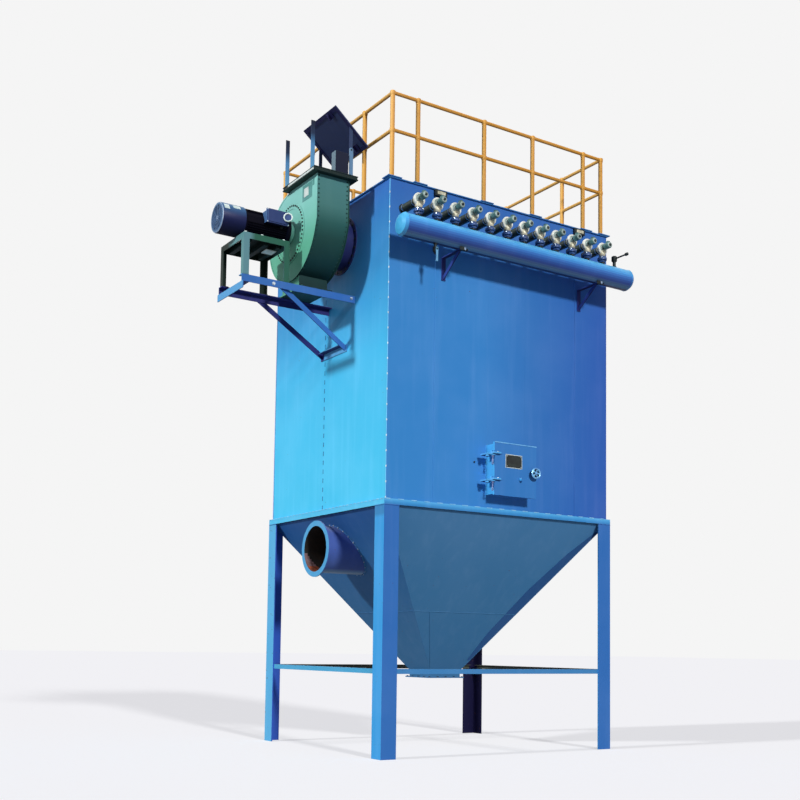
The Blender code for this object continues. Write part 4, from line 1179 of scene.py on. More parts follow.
@dataclass
class Hopper:
    """The hopper, the frame above it, the outlet below it and the dusty air inlet."""

    top: float = 2.5597
    bottom: float = 0.865
    top_x: float = 1.5
    top_y: float = 1.27
    low_half: float = 0.21
    seam_height: float = 1.515
    seam_x: float = -0.50
    inlet_z: float = 2.185
    inlet_radius: float = 0.26
    flange_z: float = 0.7867
    flange_half: float = 0.2275
    band_x: float = 1.535
    band_y: float = 1.305
    band_top: float = 2.6185
    rim_radius: float = 0.31
    rim_depth: float = 0.014
    bore_wall: float = 0.008
    bore_step: float = 0.02
    bore_steps: int = 9
    # The bore's sunlit patch is painted: daylight reaches this far into the bore for each unit
    # that a spot lies below its middle, and beyond it the bore is painted shade.
    lit_depth: float = 0.21
    # Under this share of the radius the painted lit patch is rusty, and above it a painted light
    # grey.
    rusty_below: float = -0.72
    # Height and width of the dark strip of painted shade along the front right corner.
    strip: tuple[Point2, ...] = ((0.98, 0.04), (1.30, 0.13), (1.8, 0.17), (2.2, 0.13),
                                 (2.47, 0.04))

    def half(self, z: float) -> tuple[float, float]:
        """Return the hopper's outer half sizes at a height."""
        share = (z - self.bottom) / (self.top - self.bottom)
        return (self.low_half + share * (self.top_x - self.low_half),
                self.low_half + share * (self.top_y - self.low_half))

    def build(self) -> None:
        """Dress the hopper and add its seams, its welds and its bolts."""
        dress(HOPPER_BLUE, "hopper", "hopper_outlet")
        dress(BAND_BLUE, "base_frame")
        self.seams()
        self.corner_strip()
        self.inlet()
        self.outlet()

    def corner_strip(self) -> None:
        """Lay a thin dark sheet on both plates along the front right corner, as painted shade."""
        shape = Shape()
        rise = self.top - self.bottom
        for along in (0, 1):
            run = (self.top_x, self.top_y)[1 - along] - self.low_half
            lean = math.hypot(run, rise) / rise
            if along:
                place = frame_at((self.top_x, 0, self.top), (0, 1, 0), (run, 0, rise))
            else:
                place = frame_at((0, -self.top_y, self.top), (1, 0, 0), (0, -run, rise))
            sign = -1 if along else 1
            edge, inner = [], []
            for z, width in self.strip:
                corner = self.half(z)[along] - 0.003
                edge.append((sign * corner, (z - self.top) * lean))
                inner.append((sign * (corner - width), (z - self.top) * lean))
            outline = edge + inner[::-1]
            shape.prism(outline if sign > 0 else outline[::-1], 0.003, place)
        add_piece("hopper_corner_strip", shape.done(), (CORNER_SHADE_BLUE,))

    def seams(self) -> None:
        """Add the beads on the slanting edges and across the plates."""
        low, high = self.bottom, self.top - 0.004
        (lx, ly), (hx, hy) = self.half(low), self.half(high)
        lines = [[(sx * lx, sy * ly, low), (sx * hx, sy * hy, high)]
                 for sx in (-1, 1) for sy in (-1, 1)]
        z = self.seam_height
        mx, my = self.half(z)
        for sy in (-1, 1):
            lines.append([(-mx, sy * my, z), (mx, sy * my, z)])
            lines.append([(self.seam_x * 0.42, sy * ly, low), (self.seam_x, sy * my, z)])
        for sx in (-1, 1):
            lines.append([(sx * mx, -my, z), (sx * mx, my, z)])
        add_beads("hopper_seams", lines, HOPPER_BLUE)
        under = self.top - 0.001
        ring = [(-hx, -hy, under), (hx, -hy, under), (hx, hy, under), (-hx, hy, under)]
        runs = []
        for start, end in zip(ring, ring[1:] + ring[:1]):
            runs += stitches(start, end, 0.05, 0.04)
        add_beads("hopper_top_welds", runs, HOPPER_BLUE, radius=0.008)
        # Stitched welds along the band's top edge, their pale colour a painted highlight.
        z, wx, wy = self.band_top, self.band_x, self.band_y
        runs = stitches((-wx, wy - 0.01, z), (-wx, -wy, z), 0.045, 0.03)
        runs += stitches((-wx, -wy, z), (wx, -wy, z), 0.07, 0.09)
        add_beads("frame_band_highlight_welds", runs, BAND_HIGHLIGHT_BLUE, radius=0.0045)

    def inlet(self) -> None:
        """Stand a pipe in for the plain one, with a painted sunlit patch in its bore, rusty low
        down, and painted shade deeper in, and weld it to the hopper.
        """
        place = frame_at((-1.61, 0, self.inlet_z), (0, 1, 0), (0, 0, 1))
        shape, sides = Shape(), 48
        outer, bore, rim = self.inlet_radius, self.inlet_radius - self.bore_wall, self.rim_radius
        inner = [self.bore_step * n for n in range(self.bore_steps, 0, -1)]
        spots = [(0.0, bore), (0.0, rim), (self.rim_depth, rim), (self.rim_depth, outer),
                 (None, outer), (None, bore), *((depth, bore) for depth in inner)]
        loops = [[shape.mesh.verts.new(self.on_pipe(place, radius, i, sides, depth))
                  for i in range(sides)] for depth, radius in spots]
        painted = 5
        for step, (first, second) in enumerate(zip(loops, loops[1:] + loops[:1])):
            for i in range(sides):
                after = (i + 1) % sides
                height = math.sin(2 * math.pi * (i + 0.5) / sides)
                # Painted light and shade in the bore: the lit patch is rust or light grey, the
                # rest dark.
                if step < painted:
                    shape.finish = InletPart.PAINT
                elif step == painted or inner[step - painted - 1] >= -self.lit_depth * height:
                    shape.finish = InletPart.SOOT
                else:
                    rusty = height < self.rusty_below
                    shape.finish = InletPart.RUST if rusty else InletPart.RUBBED
                shape.face((first[i], first[after], second[after], second[i]))
        add_piece("inlet_pipe_dressed", shape.done(), (INLET_BLUE, RUST, SOOT, RUBBED),
                  replaces=("inlet_pipe",))
        add_beads("inlet_weld", [[self.on_pipe(place, outer + 0.004, i, sides, None, 0.004)
                                  for i in range(sides)]], HOPPER_BLUE, closed=True,
                  radius=0.010)
        dots = [self.on_pipe(place, outer + 0.009, i, sides, None, 0.009)
                for i in range(0, sides, 2)]
        add_bolts("inlet_weld_dots", dots, LEFT, PALE_BLUE,
                  Head(0.008, 0.006, 0.009, sides=8))

    def on_pipe(self, place: Matrix, radius: float, index: int, sides: int,
                depth: float | None, proud: float = -0.002) -> Vector:
        """Return a point of the inlet pipe.

        Args:
            place: The pipe's frame, its Z along +X.
            radius: The point's radius.
            index: Its number round the pipe.
            sides: How many points the pipe has round it.
            depth: How far in from the ring's face, or None for where it meets the hopper.
            proud: How far outside the hopper's plate the point ends.

        Returns:
            The point.
        """
        angle = 2 * math.pi * index / sides
        at = place @ Vector((radius * math.cos(angle), radius * math.sin(angle), depth or 0))
        if depth is None:
            at.x = -self.half(at.z)[0] - proud
        return at

    def outlet(self) -> None:
        """Bolt the outlet flange."""
        r = self.flange_half
        places = round_rim((-r, -r), (r, r), self.flange_z, (5, 5))
        add_bolts("hopper_outlet_bolts", places, UP, DARK_STEEL,
                  Head(0.010, 0.007, 0.013))


@dataclass
class Legs:
    """The four angle legs and the braces between them."""

    height: float = 2.5597
    reach_x: float = 1.535
    reach_y: float = 1.305
    width: float = 0.18

    def build(self) -> None:
        """Dress the legs and braces and add the welds that hold them."""
        dress(LEG_BLUE, "leg_front_left", "leg_front_right")
        dress(BACK_LEG_BLUE, "leg_back_left")
        dress(FAR_LEG_BLUE, "leg_back_right")
        dress(BRACE_TEAL, "brace_front", "brace_left")
        dress(BRACE_DARK, "brace_back", "brace_right")
        lines, z = [], self.height - 0.002
        for sx in (-1, 1):
            for sy in (-1, 1):
                x, y = sx * self.reach_x, sy * self.reach_y
                side = [(x, y - sy * 0.01, z), (x, y - sy * self.width, z)]
                lines.append([(x - sx * self.width, y, z), (x, y, z)] + side if sy < 0 else side)
        add_beads("leg_welds", lines, LEG_BLUE, radius=0.006)


@dataclass
class Railing:
    """Pipe railing round the roof, on foot plates."""

    half_x: float = 1.455
    half_y: float = 1.225
    low: float = 5.9703
    height: float = 0.95
    mid_height: float = 0.53
    post_radius: float = 0.025
    rail_radius: float = 0.019
    front: tuple[float, ...] = (0.110, 0.410, 0.645, 0.905)
    left: tuple[float, ...] = (0.230, 0.470, 0.720)
    back: tuple[float, ...] = (0.330, 0.660)
    right: tuple[float, ...] = (0.280, 0.730)

    def build(self) -> None:
        """Stand bent pipes in for the plain panels and add feet and joints."""
        w, d = self.half_x, self.half_y
        sides = {"railing_front": ((-w, -d), (w, -d), self.front, True),
                 "railing_back": ((w, d), (-w, d), self.back, True),
                 "railing_left": ((-w, d), (-w, -d), self.left, False),
                 "railing_right": ((w, -d), (w, d), self.right, False)}
        feet = []
        for name, (start, end, shares, ends) in sides.items():
            shares_here = ((0.0, *shares, 1.0) if ends else shares)
            if name in ("railing_back", "railing_left"):
                shares_here = tuple(1 - s for s in shares_here)
            posts = [Vector((*start, 0)).lerp(Vector((*end, 0)), s) for s in shares_here]
            self.panel(name, Vector((*start, 0)), Vector((*end, 0)), posts)
            feet += [(p, name) for p in posts]
        self.foot_plates(feet)

    def panel(self, name: str, start: Vector, end: Vector, posts: list[Vector]) -> None:
        """Build one side's rails and posts.

        Args:
            name: The CAD node that it stands for.
            start: Where the side starts.
            end: Where it ends.
            posts: Where its posts stand.
        """
        top = self.low + self.height - self.rail_radius
        mid = self.low + self.mid_height
        rails = PIPES.run(line_marks([[start + UP * z, end + UP * z] for z in (top, mid)]),
                          YELLOW.material(), {"Pipe Radius": self.rail_radius})
        uprights = PIPES.run(line_marks([[p + UP * self.low, p + UP * (top + 0.004)]
                                         for p in posts]),
                             YELLOW.material(), {"Pipe Radius": self.post_radius})
        shape = Shape()
        shape.mesh.from_mesh(rails)
        shape.mesh.from_mesh(uprights)
        for post in posts:
            for z in (top, mid):
                shape.turned(((-0.028, 0.026), (-0.016, 0.030), (0.012, 0.030), (0.018, 0.026)),
                             Matrix.Translation(post + UP * z), 14)
        add_piece(name + "_pipes", shape.done(smooth=50), (YELLOW,),
                  replaces=(name,))

    def foot_plates(self, feet: list[tuple[Vector, str]]) -> None:
        """Bolt a plate under each post, reaching just past the roof's edge at the front.

        Args:
            feet: Each post's place and the side it belongs to.
        """
        shape, bolts = Shape(), []
        for place, side in feet:
            long_x = side in ("railing_front", "railing_back")
            a, b = (0.085, 0.055) if long_x else (0.055, 0.085)
            x, y = place.x, place.y
            low_y = y - b - (0.022 if side == "railing_front" else 0.0)
            shape.box((x - a, low_y, self.low), (x + a, y + b, self.low + 0.010))
            bolts += [(x + sx * (a - 0.018), y + sy * (b - 0.018), self.low + 0.010)
                      for sx in (-1, 1) for sy in (-1, 1)]
        add_piece("railing_foot_plates", shape.done(0.002), (ROOF_BLUE,))
        add_bolts("railing_foot_bolts", bolts, UP, ZINC,
                  Head(0.009, 0.007, 0.012))


@dataclass
class AirHeader:
    """The compressed air header, its brackets, drain and supply valve."""

    y: float = -1.57
    z: float = 5.365
    radius: float = 0.118
    half: float = 1.58
    brackets: tuple[float, ...] = (-0.8216, 1.0744)
    drain_x: float = -1.13
    supply_x: float = 1.35

    def build(self) -> None:
        """Dress the header and add its seams, clips, drain and supply."""
        dress(TANK_BLUE, "air_header")
        dress(HEADER_BRACKET_BLUE, "header_bracket_left", "header_bracket_right")
        rings = []
        for x in (-self.half + 0.052, self.half - 0.052):
            rings.append(circle(facing((x, self.y, self.z), LEFT), self.radius, 40))
        add_beads("header_end_seams", rings, TANK_BLUE, closed=True, radius=0.004)
        self.clips()
        self.drain()
        self.supply()

    def clips(self) -> None:
        """Add the dark clip with a pale insert and a nut at the front of each bracket arm."""
        shape = Shape()
        low = self.z - self.radius
        for x in self.brackets:
            front = self.y - 0.059
            shape.finish = 0
            shape.box((x - 0.045, front - 0.008, low - 0.035), (x + 0.010, front, low + 0.012))
            shape.box((x - 0.045, front - 0.030, low - 0.035), (x + 0.030, front, low - 0.027))
            shape.finish = 1
            shape.box((x + 0.012, front - 0.008, low - 0.026), (x + 0.034, front, low + 0.010))
            shape.finish = 0
            shape.bar((x + 0.048, front - 0.012, low - 0.010), (x + 0.048, front, low - 0.010),
                      0.010, 6)
        add_piece("header_clips", shape.done(0.002), (DARK_STEEL, PALE_BLUE))

    def drain(self) -> None:
        """Build the drain valve with its hanging lever."""
        low = self.z - self.radius
        x, y = self.drain_x, self.y
        down = facing((x, y, low), (0, 0, -1))
        shape = Shape()
        shape.turned(((-0.01, 0.022), (0.006, 0.022), (0.006, 0.014), (0.034, 0.014),
                      (0.034, 0.024), (0.040, 0.027), (0.082, 0.027), (0.088, 0.024),
                      (0.088, 0.014), (0.110, 0.014)), down, 16)
        middle = low - 0.061
        shape.bar((x, y, middle), (x, y - 0.034, middle), 0.011)
        shape.finish = 1
        outline = [(-0.012, 0.018), (0.012, 0.018), (0.014, -0.02), (0.010, -0.085),
                   (0.013, -0.130), (-0.013, -0.130), (-0.010, -0.085), (-0.014, -0.02)]
        shape.prism(outline, 0.006, frame_at((x, y - 0.028, middle), (1, 0, 0), (0, 0, 1)))
        add_piece("header_drain_dressed", shape.done(), (DARK_STEEL, POST_BLUE),
                  replaces=("header_drain",))

    def supply(self) -> None:
        """Build the supply valve with its forward lever."""
        low = self.z + self.radius
        x, y = self.supply_x, self.y
        shape = Shape()
        up = Matrix.Translation((x, y, low))
        shape.turned(((-0.01, 0.026), (0.010, 0.026), (0.010, 0.018), (0.070, 0.018),
                      (0.070, 0.028), (0.078, 0.032), (0.122, 0.032), (0.130, 0.026)), up, 16)
        middle = low + 0.1003
        shape.bar((x, y, middle), (x, y - 0.205, middle), 0.009)
        shape.turned(((0, 0.010), (0.004, 0.018), (0.034, 0.018), (0.040, 0.012)),
                     facing((x, y - 0.180, middle), FRONT), 14)
        add_piece("header_supply_dressed", shape.done(), (DARK_STEEL,),
                  replaces=("header_supply",))


class ValvePart(IntEnum):
    """A pulse valve's finishes, in the order of its material numbers."""

    BODY, HOSE, COIL, ZINC, DARK, TUBE, COUPLING, CAP, RIM = range(9)


@dataclass
class PulseValve:
    """One right-angle pulse valve: cast body, ribbed hose to the wall, coil in front."""

    number: int
    x: float
    y: float = -1.57
    z: float = 5.663
    wall: float = -1.2703
    tank_top: float = 5.483

    def build(self) -> None:
        """Build the valve in place of its plain CAD solid."""
        shape = Shape()
        self.body(shape)
        self.coil(shape)
        self.coupling(shape)
        hose = RIBBED.run(line_marks([[(self.x, self.y + 0.045, self.z),
                                       (self.x, self.wall, self.z)]]),
                          RUBBER.material(), {"Radius": 0.036, "Rib Pitch": 0.022,
                                              "Rib Depth": 0.12, "Step": 0.0055, "Sides": 14},
                          smooth=70.0)
        first = len(shape.mesh.faces)
        shape.mesh.from_mesh(hose)
        shape.mesh.faces.ensure_lookup_table()
        for face in shape.mesh.faces[first:]:
            face.material_index = ValvePart.HOSE
        add_piece(f"pulse_valve_{self.number:02d}_dressed", shape.done(),
                  (CREAM, RUBBER, COIL, ZINC, DARK_STEEL, TEAL_STEEL, COUPLING, CAP_GREY,
                   PALE_RIM), replaces=(f"pulse_valve_{self.number:02d}",))

    def body(self, shape: Shape) -> None:
        """Add the cast body, and its bonnet with a pale rim, a grey cap and eight bolts.

        Args:
            shape: The mesh that it joins.
        """
        place = facing((self.x, self.y, self.z), FRONT)
        shape.lathed(place, (
            (ValvePart.BODY, 24, ((-0.062, 0.026), (-0.050, 0.040), (-0.030, 0.050),
                                  (-0.014, 0.054), (-0.012, 0.064), (-0.001, 0.064))),
            (ValvePart.RIM, 24, ((0.001, 0.068), (0.014, 0.068), (0.021, 0.061), (0.022, 0.048),
                                 (0.012, 0.045))),
            (ValvePart.CAP, 20, ((0.010, 0.046), (0.014, 0.046), (0.022, 0.036), (0.030, 0.022))),
            (ValvePart.DARK, 24, ((-0.001, 0.060), (0.001, 0.060)))))
        for spot in circle(place, 0.0565, 8, math.pi / 8):
            shape.bar(spot - FRONT * 0.016, spot + FRONT * 0.020, 0.0045, 6)

    def coil(self, shape: Shape) -> None:
        """Add the solenoid coil, its nut and its plug.

        Args:
            shape: The mesh that it joins.
        """
        place = facing((self.x, self.y, self.z + 0.012), FRONT)
        shape.lathed(place, (
            (ValvePart.DARK, 12, ((0.028, 0.020), (0.058, 0.018))),
            (ValvePart.COIL, 18, ((0.054, 0.030), (0.058, 0.036), (0.122, 0.036),
                                  (0.128, 0.031)))))
        shape.box((self.x - 0.016, self.y - 0.112, self.z + 0.036),
                  (self.x + 0.016, self.y - 0.076, self.z + 0.060))
        shape.lathed(place, (
            (ValvePart.CAP, 18, ((0.127, 0.031), (0.130, 0.031), (0.132, 0.028))),
            (ValvePart.DARK, 6, ((0.131, 0.015), (0.140, 0.015), (0.143, 0.010)))))

    def coupling(self, shape: Shape) -> None:
        """Add the neck with its bolted flange and nut, the hose's clamps and the tube beside.

        Args:
            shape: The mesh that it joins.
        """
        up = Matrix.Translation((self.x, self.y, self.tank_top))
        shape.lathed(up, (
            (ValvePart.BODY, 18, ((0.090, 0.032), (0.104, 0.038), (0.128, 0.040),
                                  (0.150, 0.038))),
            (ValvePart.COUPLING, 18, ((0.044, 0.050), (0.048, 0.054), (0.066, 0.054),
                                      (0.072, 0.048), (0.084, 0.040), (0.092, 0.034)))))
        shape.finish = ValvePart.ZINC
        for spot in circle(up @ Matrix.Translation((0, 0, 0.066)), 0.046, 4, math.pi / 4):
            shape.bar(spot, spot + UP * 0.012, 0.008, 6)
        shape.lathed(up, (
            (ValvePart.COUPLING, 6, ((0.020, 0.037), (0.024, 0.041), (0.040, 0.041),
                                     (0.046, 0.036))),
            (ValvePart.DARK, 18, ((-0.006, 0.040), (0.004, 0.036), (0.010, 0.030),
                                  (0.030, 0.030)))))
        for part, y, radius, length in ((ValvePart.ZINC, self.y + 0.072, 0.0405, 0.012),
                                        (ValvePart.ZINC, self.y + 0.262, 0.0405, 0.012),
                                        (ValvePart.DARK, self.wall - 0.008, 0.050, 0.008)):
            shape.lathed(facing((self.x, y, self.z), (0, 1, 0)),
                         ((part, 16, ((0, radius), (length, radius))),))
        shape.finish = ValvePart.TUBE
        shape.bar((self.x + 0.044, self.y + 0.010, self.z - 0.022),
                  (self.x + 0.044, self.wall + 0.001, self.z - 0.022), 0.010, 8)


@dataclass
class Door:
    """The inspection door: box, cover, strap hinges, blank plate and handwheel."""

    left: float = -0.25
    right: float = 0.32
    bottom: float = 2.745
    top: float = 3.315
    front: float = -1.4423
    hinge_x: float = -0.28
    hinge_y: float = -1.4293
    straps: tuple[float, ...] = (2.905, 3.185)
    wheel_x: float = 0.275
    wheel_z: float = 3.015

    def build(self) -> None:
        """Dress the door and add what is fixed to the box and to the cover."""
        dress(DOOR_BLUE, "door_frame", "door")
        self.handwheel()
        self.fixed()
        self.cover()
        self.plate()

    def handwheel(self) -> None:
        """Cast a thicker wheel with five flat spokes in place of the plain one."""
        place = facing((self.wheel_x, self.front, self.wheel_z), FRONT)
        shape = Shape()
        shape.ring(place @ Matrix.Translation((0, 0, 0.052)), 0.052, 0.010, 28, 8)
        for i in range(5):
            spoke = place @ Matrix.Rotation(2 * math.pi * i / 5, 4, "Z")
            shape.box((0.010, -0.007, 0.048), (0.050, 0.007, 0.058), spoke)
        shape.turned(((0.040, 0.016), (0.060, 0.016), (0.066, 0.011)), place, 16)
        shape.finish = 1
        # Painted shade: a dark disc just behind the spokes stands for the shade in the wheel's
        # openings.
        shape.turned(((0.042, 0.049), (0.045, 0.049)), place, 20)
        shape.turned(((-0.006, 0.009), (0.045, 0.009)), place, 12)
        shape.turned(((0.0005, 0.018), (0.012, 0.018)), place, 6)
        add_piece("door_handwheel_dressed", shape.done(0.001), (WHEEL_STEEL, DARK_STEEL),
                  Body.WHEEL, replaces=("door_handwheel",))

    def fixed(self) -> None:
        """Add the lugs on the box with their hanging hinge pins, and the box's weld."""
        shape = Shape()
        for z in self.straps:
            low, x, y = z - 0.019, self.hinge_x, self.hinge_y
            pin_x, pin_y = x + 0.004, y - 0.014
            shape.finish = 0
            shape.box((x - 0.078, y - 0.022, low), (x + 0.035, y + 0.095, low + 0.018))
            shape.turned(((-0.024, 0.014), (-0.018, 0.020), (0.001, 0.020)),
                         Matrix.Translation((x - 0.058, y, low)), 6)
            shape.finish = 1
            shape.bar((pin_x, pin_y, z - 0.100), (pin_x, pin_y, z - 0.008), 0.008, 8)
            shape.ring(frame_at((pin_x, pin_y, z - 0.106), (1, 0, 0), (0, 0, 1)), 0.011,
                       0.006, 14, 6)
            shape.turned(((0, 0.014), (0.016, 0.014)),
                         Matrix.Translation((pin_x, pin_y, z - 0.042)), 6)
        add_piece("door_box_lugs", shape.done(0.0015), (STRAP_BLUE, PIN_STEEL))
        inset, wall = 0.016, -1.2715
        ring = [(self.left + inset, wall, self.bottom + inset),
                (self.right - inset, wall, self.bottom + inset),
                (self.right - inset, wall, self.top - inset),
                (self.left + inset, wall, self.top - inset)]
        add_beads("door_box_weld", [ring], DOOR_BLUE, closed=True, radius=0.006)

    def cover(self) -> None:
        """Add the strap plates, their nuts and the lip that move with the cover; the lip's bright
        colour is a painted highlight.
        """
        shape = Shape()
        for z in self.straps:
            shape.finish = 0
            outline = arc((self.hinge_x, self.hinge_y), 0.016, (180, 150, 120, 90))
            outline += [(self.left - 0.004, self.hinge_y + 0.016), (self.left - 0.004, self.front),
                        (-0.186, self.front), (-0.172, self.front - 0.014),
                        (-0.186, self.front - 0.034), (self.hinge_x, self.front - 0.026)]
            shape.prism(outline, 0.018, Matrix.Translation((0, 0, z)))
            shape.finish = 1
            shape.turned(((0, 0.010), (0.008, 0.010)),
                         Matrix.Translation((-0.214, self.front - 0.017, z + 0.017)), 6)
        # Painted highlight: a thin bright lip along the cover's top front edge.
        shape.finish = 2
        shape.box((self.left, self.front - 0.004, self.top - 0.006),
                  (self.right, self.front + 0.001, self.top + 0.002))
        add_piece("door_straps", shape.done(), (STRAP_BLUE, ZINC, LIP_BLUE), Body.DOOR)

    def plate(self) -> None:
        """Add the blank black plate on the cover, with a pale border and four rivets."""
        low, high = (-0.104, self.front - 0.003, 3.050), (0.121, self.front, 3.195)
        shape = Shape()
        shape.finish = 0
        shape.box(low, high)
        shape.finish = 1
        shape.box((low[0] + 0.006, low[1] - 0.001, low[2] + 0.006),
                  (high[0] - 0.006, low[1] + 0.002, high[2] - 0.006))
        add_piece("door_blank_plate", shape.done(), (PALE_PLATE, PLATE_BLACK),
                  Body.DOOR)
        corners = [(x, low[1] - 0.001, z) for x in (low[0] + 0.018, high[0] - 0.018)
                   for z in (low[2] + 0.018, high[2] - 0.018)]
        add_bolts("door_plate_rivets", corners, FRONT, ZINC,
                  Head(0.005, 0.003, 0.006, 0.001, 8), Body.DOOR)


@dataclass
class FanCasing:
    """The fan's scroll casing, its rims, rivets and bolt ring."""

    y: float = -0.30
    z: float = 5.515
    outer_x: float = -2.15
    inner_x: float = -1.77
    outlet_radius: float = 0.59
    cutoff_radius: float = 0.45
    ease: float = 0.6
    near_y: float = -0.89
    far_y: float = -0.31
    top: float = 6.00
    steps: int = 40

    def scroll(self, proud: float = 0.0, steps: int | None = None) -> list[tuple[float, float]]:
        """Return the casing's side outline.

        Args:
            proud: How far outside the casing the outline runs.
            steps: How many steps the curve has, or None for the casing's own.

        Returns:
            (y, z) points from the outlet's near edge round to its far edge.
        """
        count = steps or self.steps
        points = [(self.near_y - proud, self.top)]
        shrink = math.log(self.cutoff_radius / self.outlet_radius)
        for i in range(count + 1):
            share = i / count
            radius = self.outlet_radius * math.exp(shrink * share ** self.ease) + proud
            angle = math.pi + share * 1.5 * math.pi
            points.append((self.y + radius * math.cos(angle), self.z + radius * math.sin(angle)))
        points.append((self.far_y + proud, self.z + self.cutoff_radius + proud))
        points.append((self.far_y + proud, self.top))
        return points

    def build(self) -> None:
        """Smooth the casing and its duct and add rims, rivets, bolts, plate and duct ring."""
        add_piece("fan_casing_smooth", smoothed("fan_casing"), (GREEN,),
                  replaces=("fan_casing",))
        add_piece("fan_duct_smooth", smoothed("fan_inlet_duct"), (DUCT_BLUE,),
                  replaces=("fan_inlet_duct",))
        self.rims()
        self.rivets()
        self.bolt_ring()
        self.plates()
        self.duct_ring()

    def rims(self) -> None:
        """Add the folded rim along both edges of the band."""
        shape = Shape()
        outer, inner = self.scroll(0.012), self.scroll(-0.006)
        for shape.finish, x in enumerate((self.outer_x - 0.003, self.inner_x - 0.005)):
            loops = []
            for outline, at in ((outer, x), (outer, x + 0.008), (inner, x + 0.008), (inner, x)):
                loops.append([shape.mesh.verts.new((at, y, z)) for y, z in outline])
            for i in range(len(outer) - 1):
                for a, b in ((0, 1), (1, 2), (2, 3), (3, 0)):
                    shape.face((loops[a][i], loops[a][i + 1], loops[b][i + 1], loops[b][i]))
            for i in (0, -1):
                shape.face([loop[i] for loop in loops])
        add_piece("fan_casing_rims", shape.done(), (GREEN, DARK_GREEN))

    def rivets(self) -> None:
        """Add the rivets along both edges of the band, where the sheet is folded over."""
        line = [Vector((0, *p)) for p in self.scroll(0.0, 120)]
        places, outward, travelled, due = [], [], 0.0, 0.03
        for start, end in zip(line, line[1:]):
            length = (end - start).length
            while due <= travelled + length:
                at = start.lerp(end, (due - travelled) / length)
                away = Vector((0, (end - start).z, -(end - start).y)).normalized()
                if away.dot(at - Vector((0, self.y, self.z))) < 0:
                    away = -away
                for x in (self.outer_x + 0.022, self.inner_x - 0.022):
                    places.append(at + Vector((x, 0, 0)))
                    outward.append(away)
                due += 0.048
            travelled += length
        add_bolts("fan_band_rivets", places, outward, DARK_GREEN,
                  Head(0.008, 0.006, 0.009, 0.001))

    def bolt_ring(self) -> None:
        """Add the bolted ring that closes the hole for the fan wheel."""
        place = facing((self.outer_x, self.y, self.z), LEFT)
        shape = Shape()
        shape.turned(((0, 0.265), (0, 0.330), (0.004, 0.330), (0.004, 0.265)), place, 64,
                     closed=True)
        shape.turned(((-0.01, 0.11), (0.006, 0.11), (0.016, 0.085), (0.030, 0.05)), place, 32)
        add_piece("fan_wheel_ring", shape.done(), (GREEN,))
        add_bolts("fan_ring_bolts", circle(place, 0.300, 44), LEFT, DARK_STEEL,
                  Head(0.010, 0.012, 0.012))

    def plates(self) -> None:
        """Add the blank pale plate near the outlet, on its darker repainted patch."""
        shape = Shape()
        x = self.outer_x
        shape.box((x - 0.005, -0.708, 5.812), (x, -0.612, 5.905))
        add_piece("fan_blank_plate", shape.done(0.001), (PALE_PLATE,))
        shape = Shape()
        shape.box((x - 0.002, -0.785, 5.775), (x + 0.001, -0.575, 5.945))
        shape.box((x - 0.002, -0.830, 5.885), (x + 0.001, -0.795, 5.960))
        add_piece("fan_plate_patch", shape.done(), (PATCH_GREEN,))

    def duct_ring(self) -> None:
        """Bolt the duct to the housing's wall."""
        place = facing((-1.5015, self.y, self.z), LEFT)
        shape = Shape()
        shape.turned(((0, 0.262), (0, 0.315), (0.010, 0.315), (0.010, 0.262)), place, 48,
                     closed=True)
        shape.turned(((0.246, 0.262), (0.246, 0.300), (0.256, 0.300), (0.256, 0.262)), place, 48,
                     closed=True)
        add_piece("fan_duct_rings", shape.done(), (DUCT_BLUE,))
        add_bolts("fan_duct_bolts", [p + LEFT * 0.010 for p in circle(place, 0.290, 20)], LEFT,
                  DARK_STEEL, Head(0.010, 0.008, 0.013))


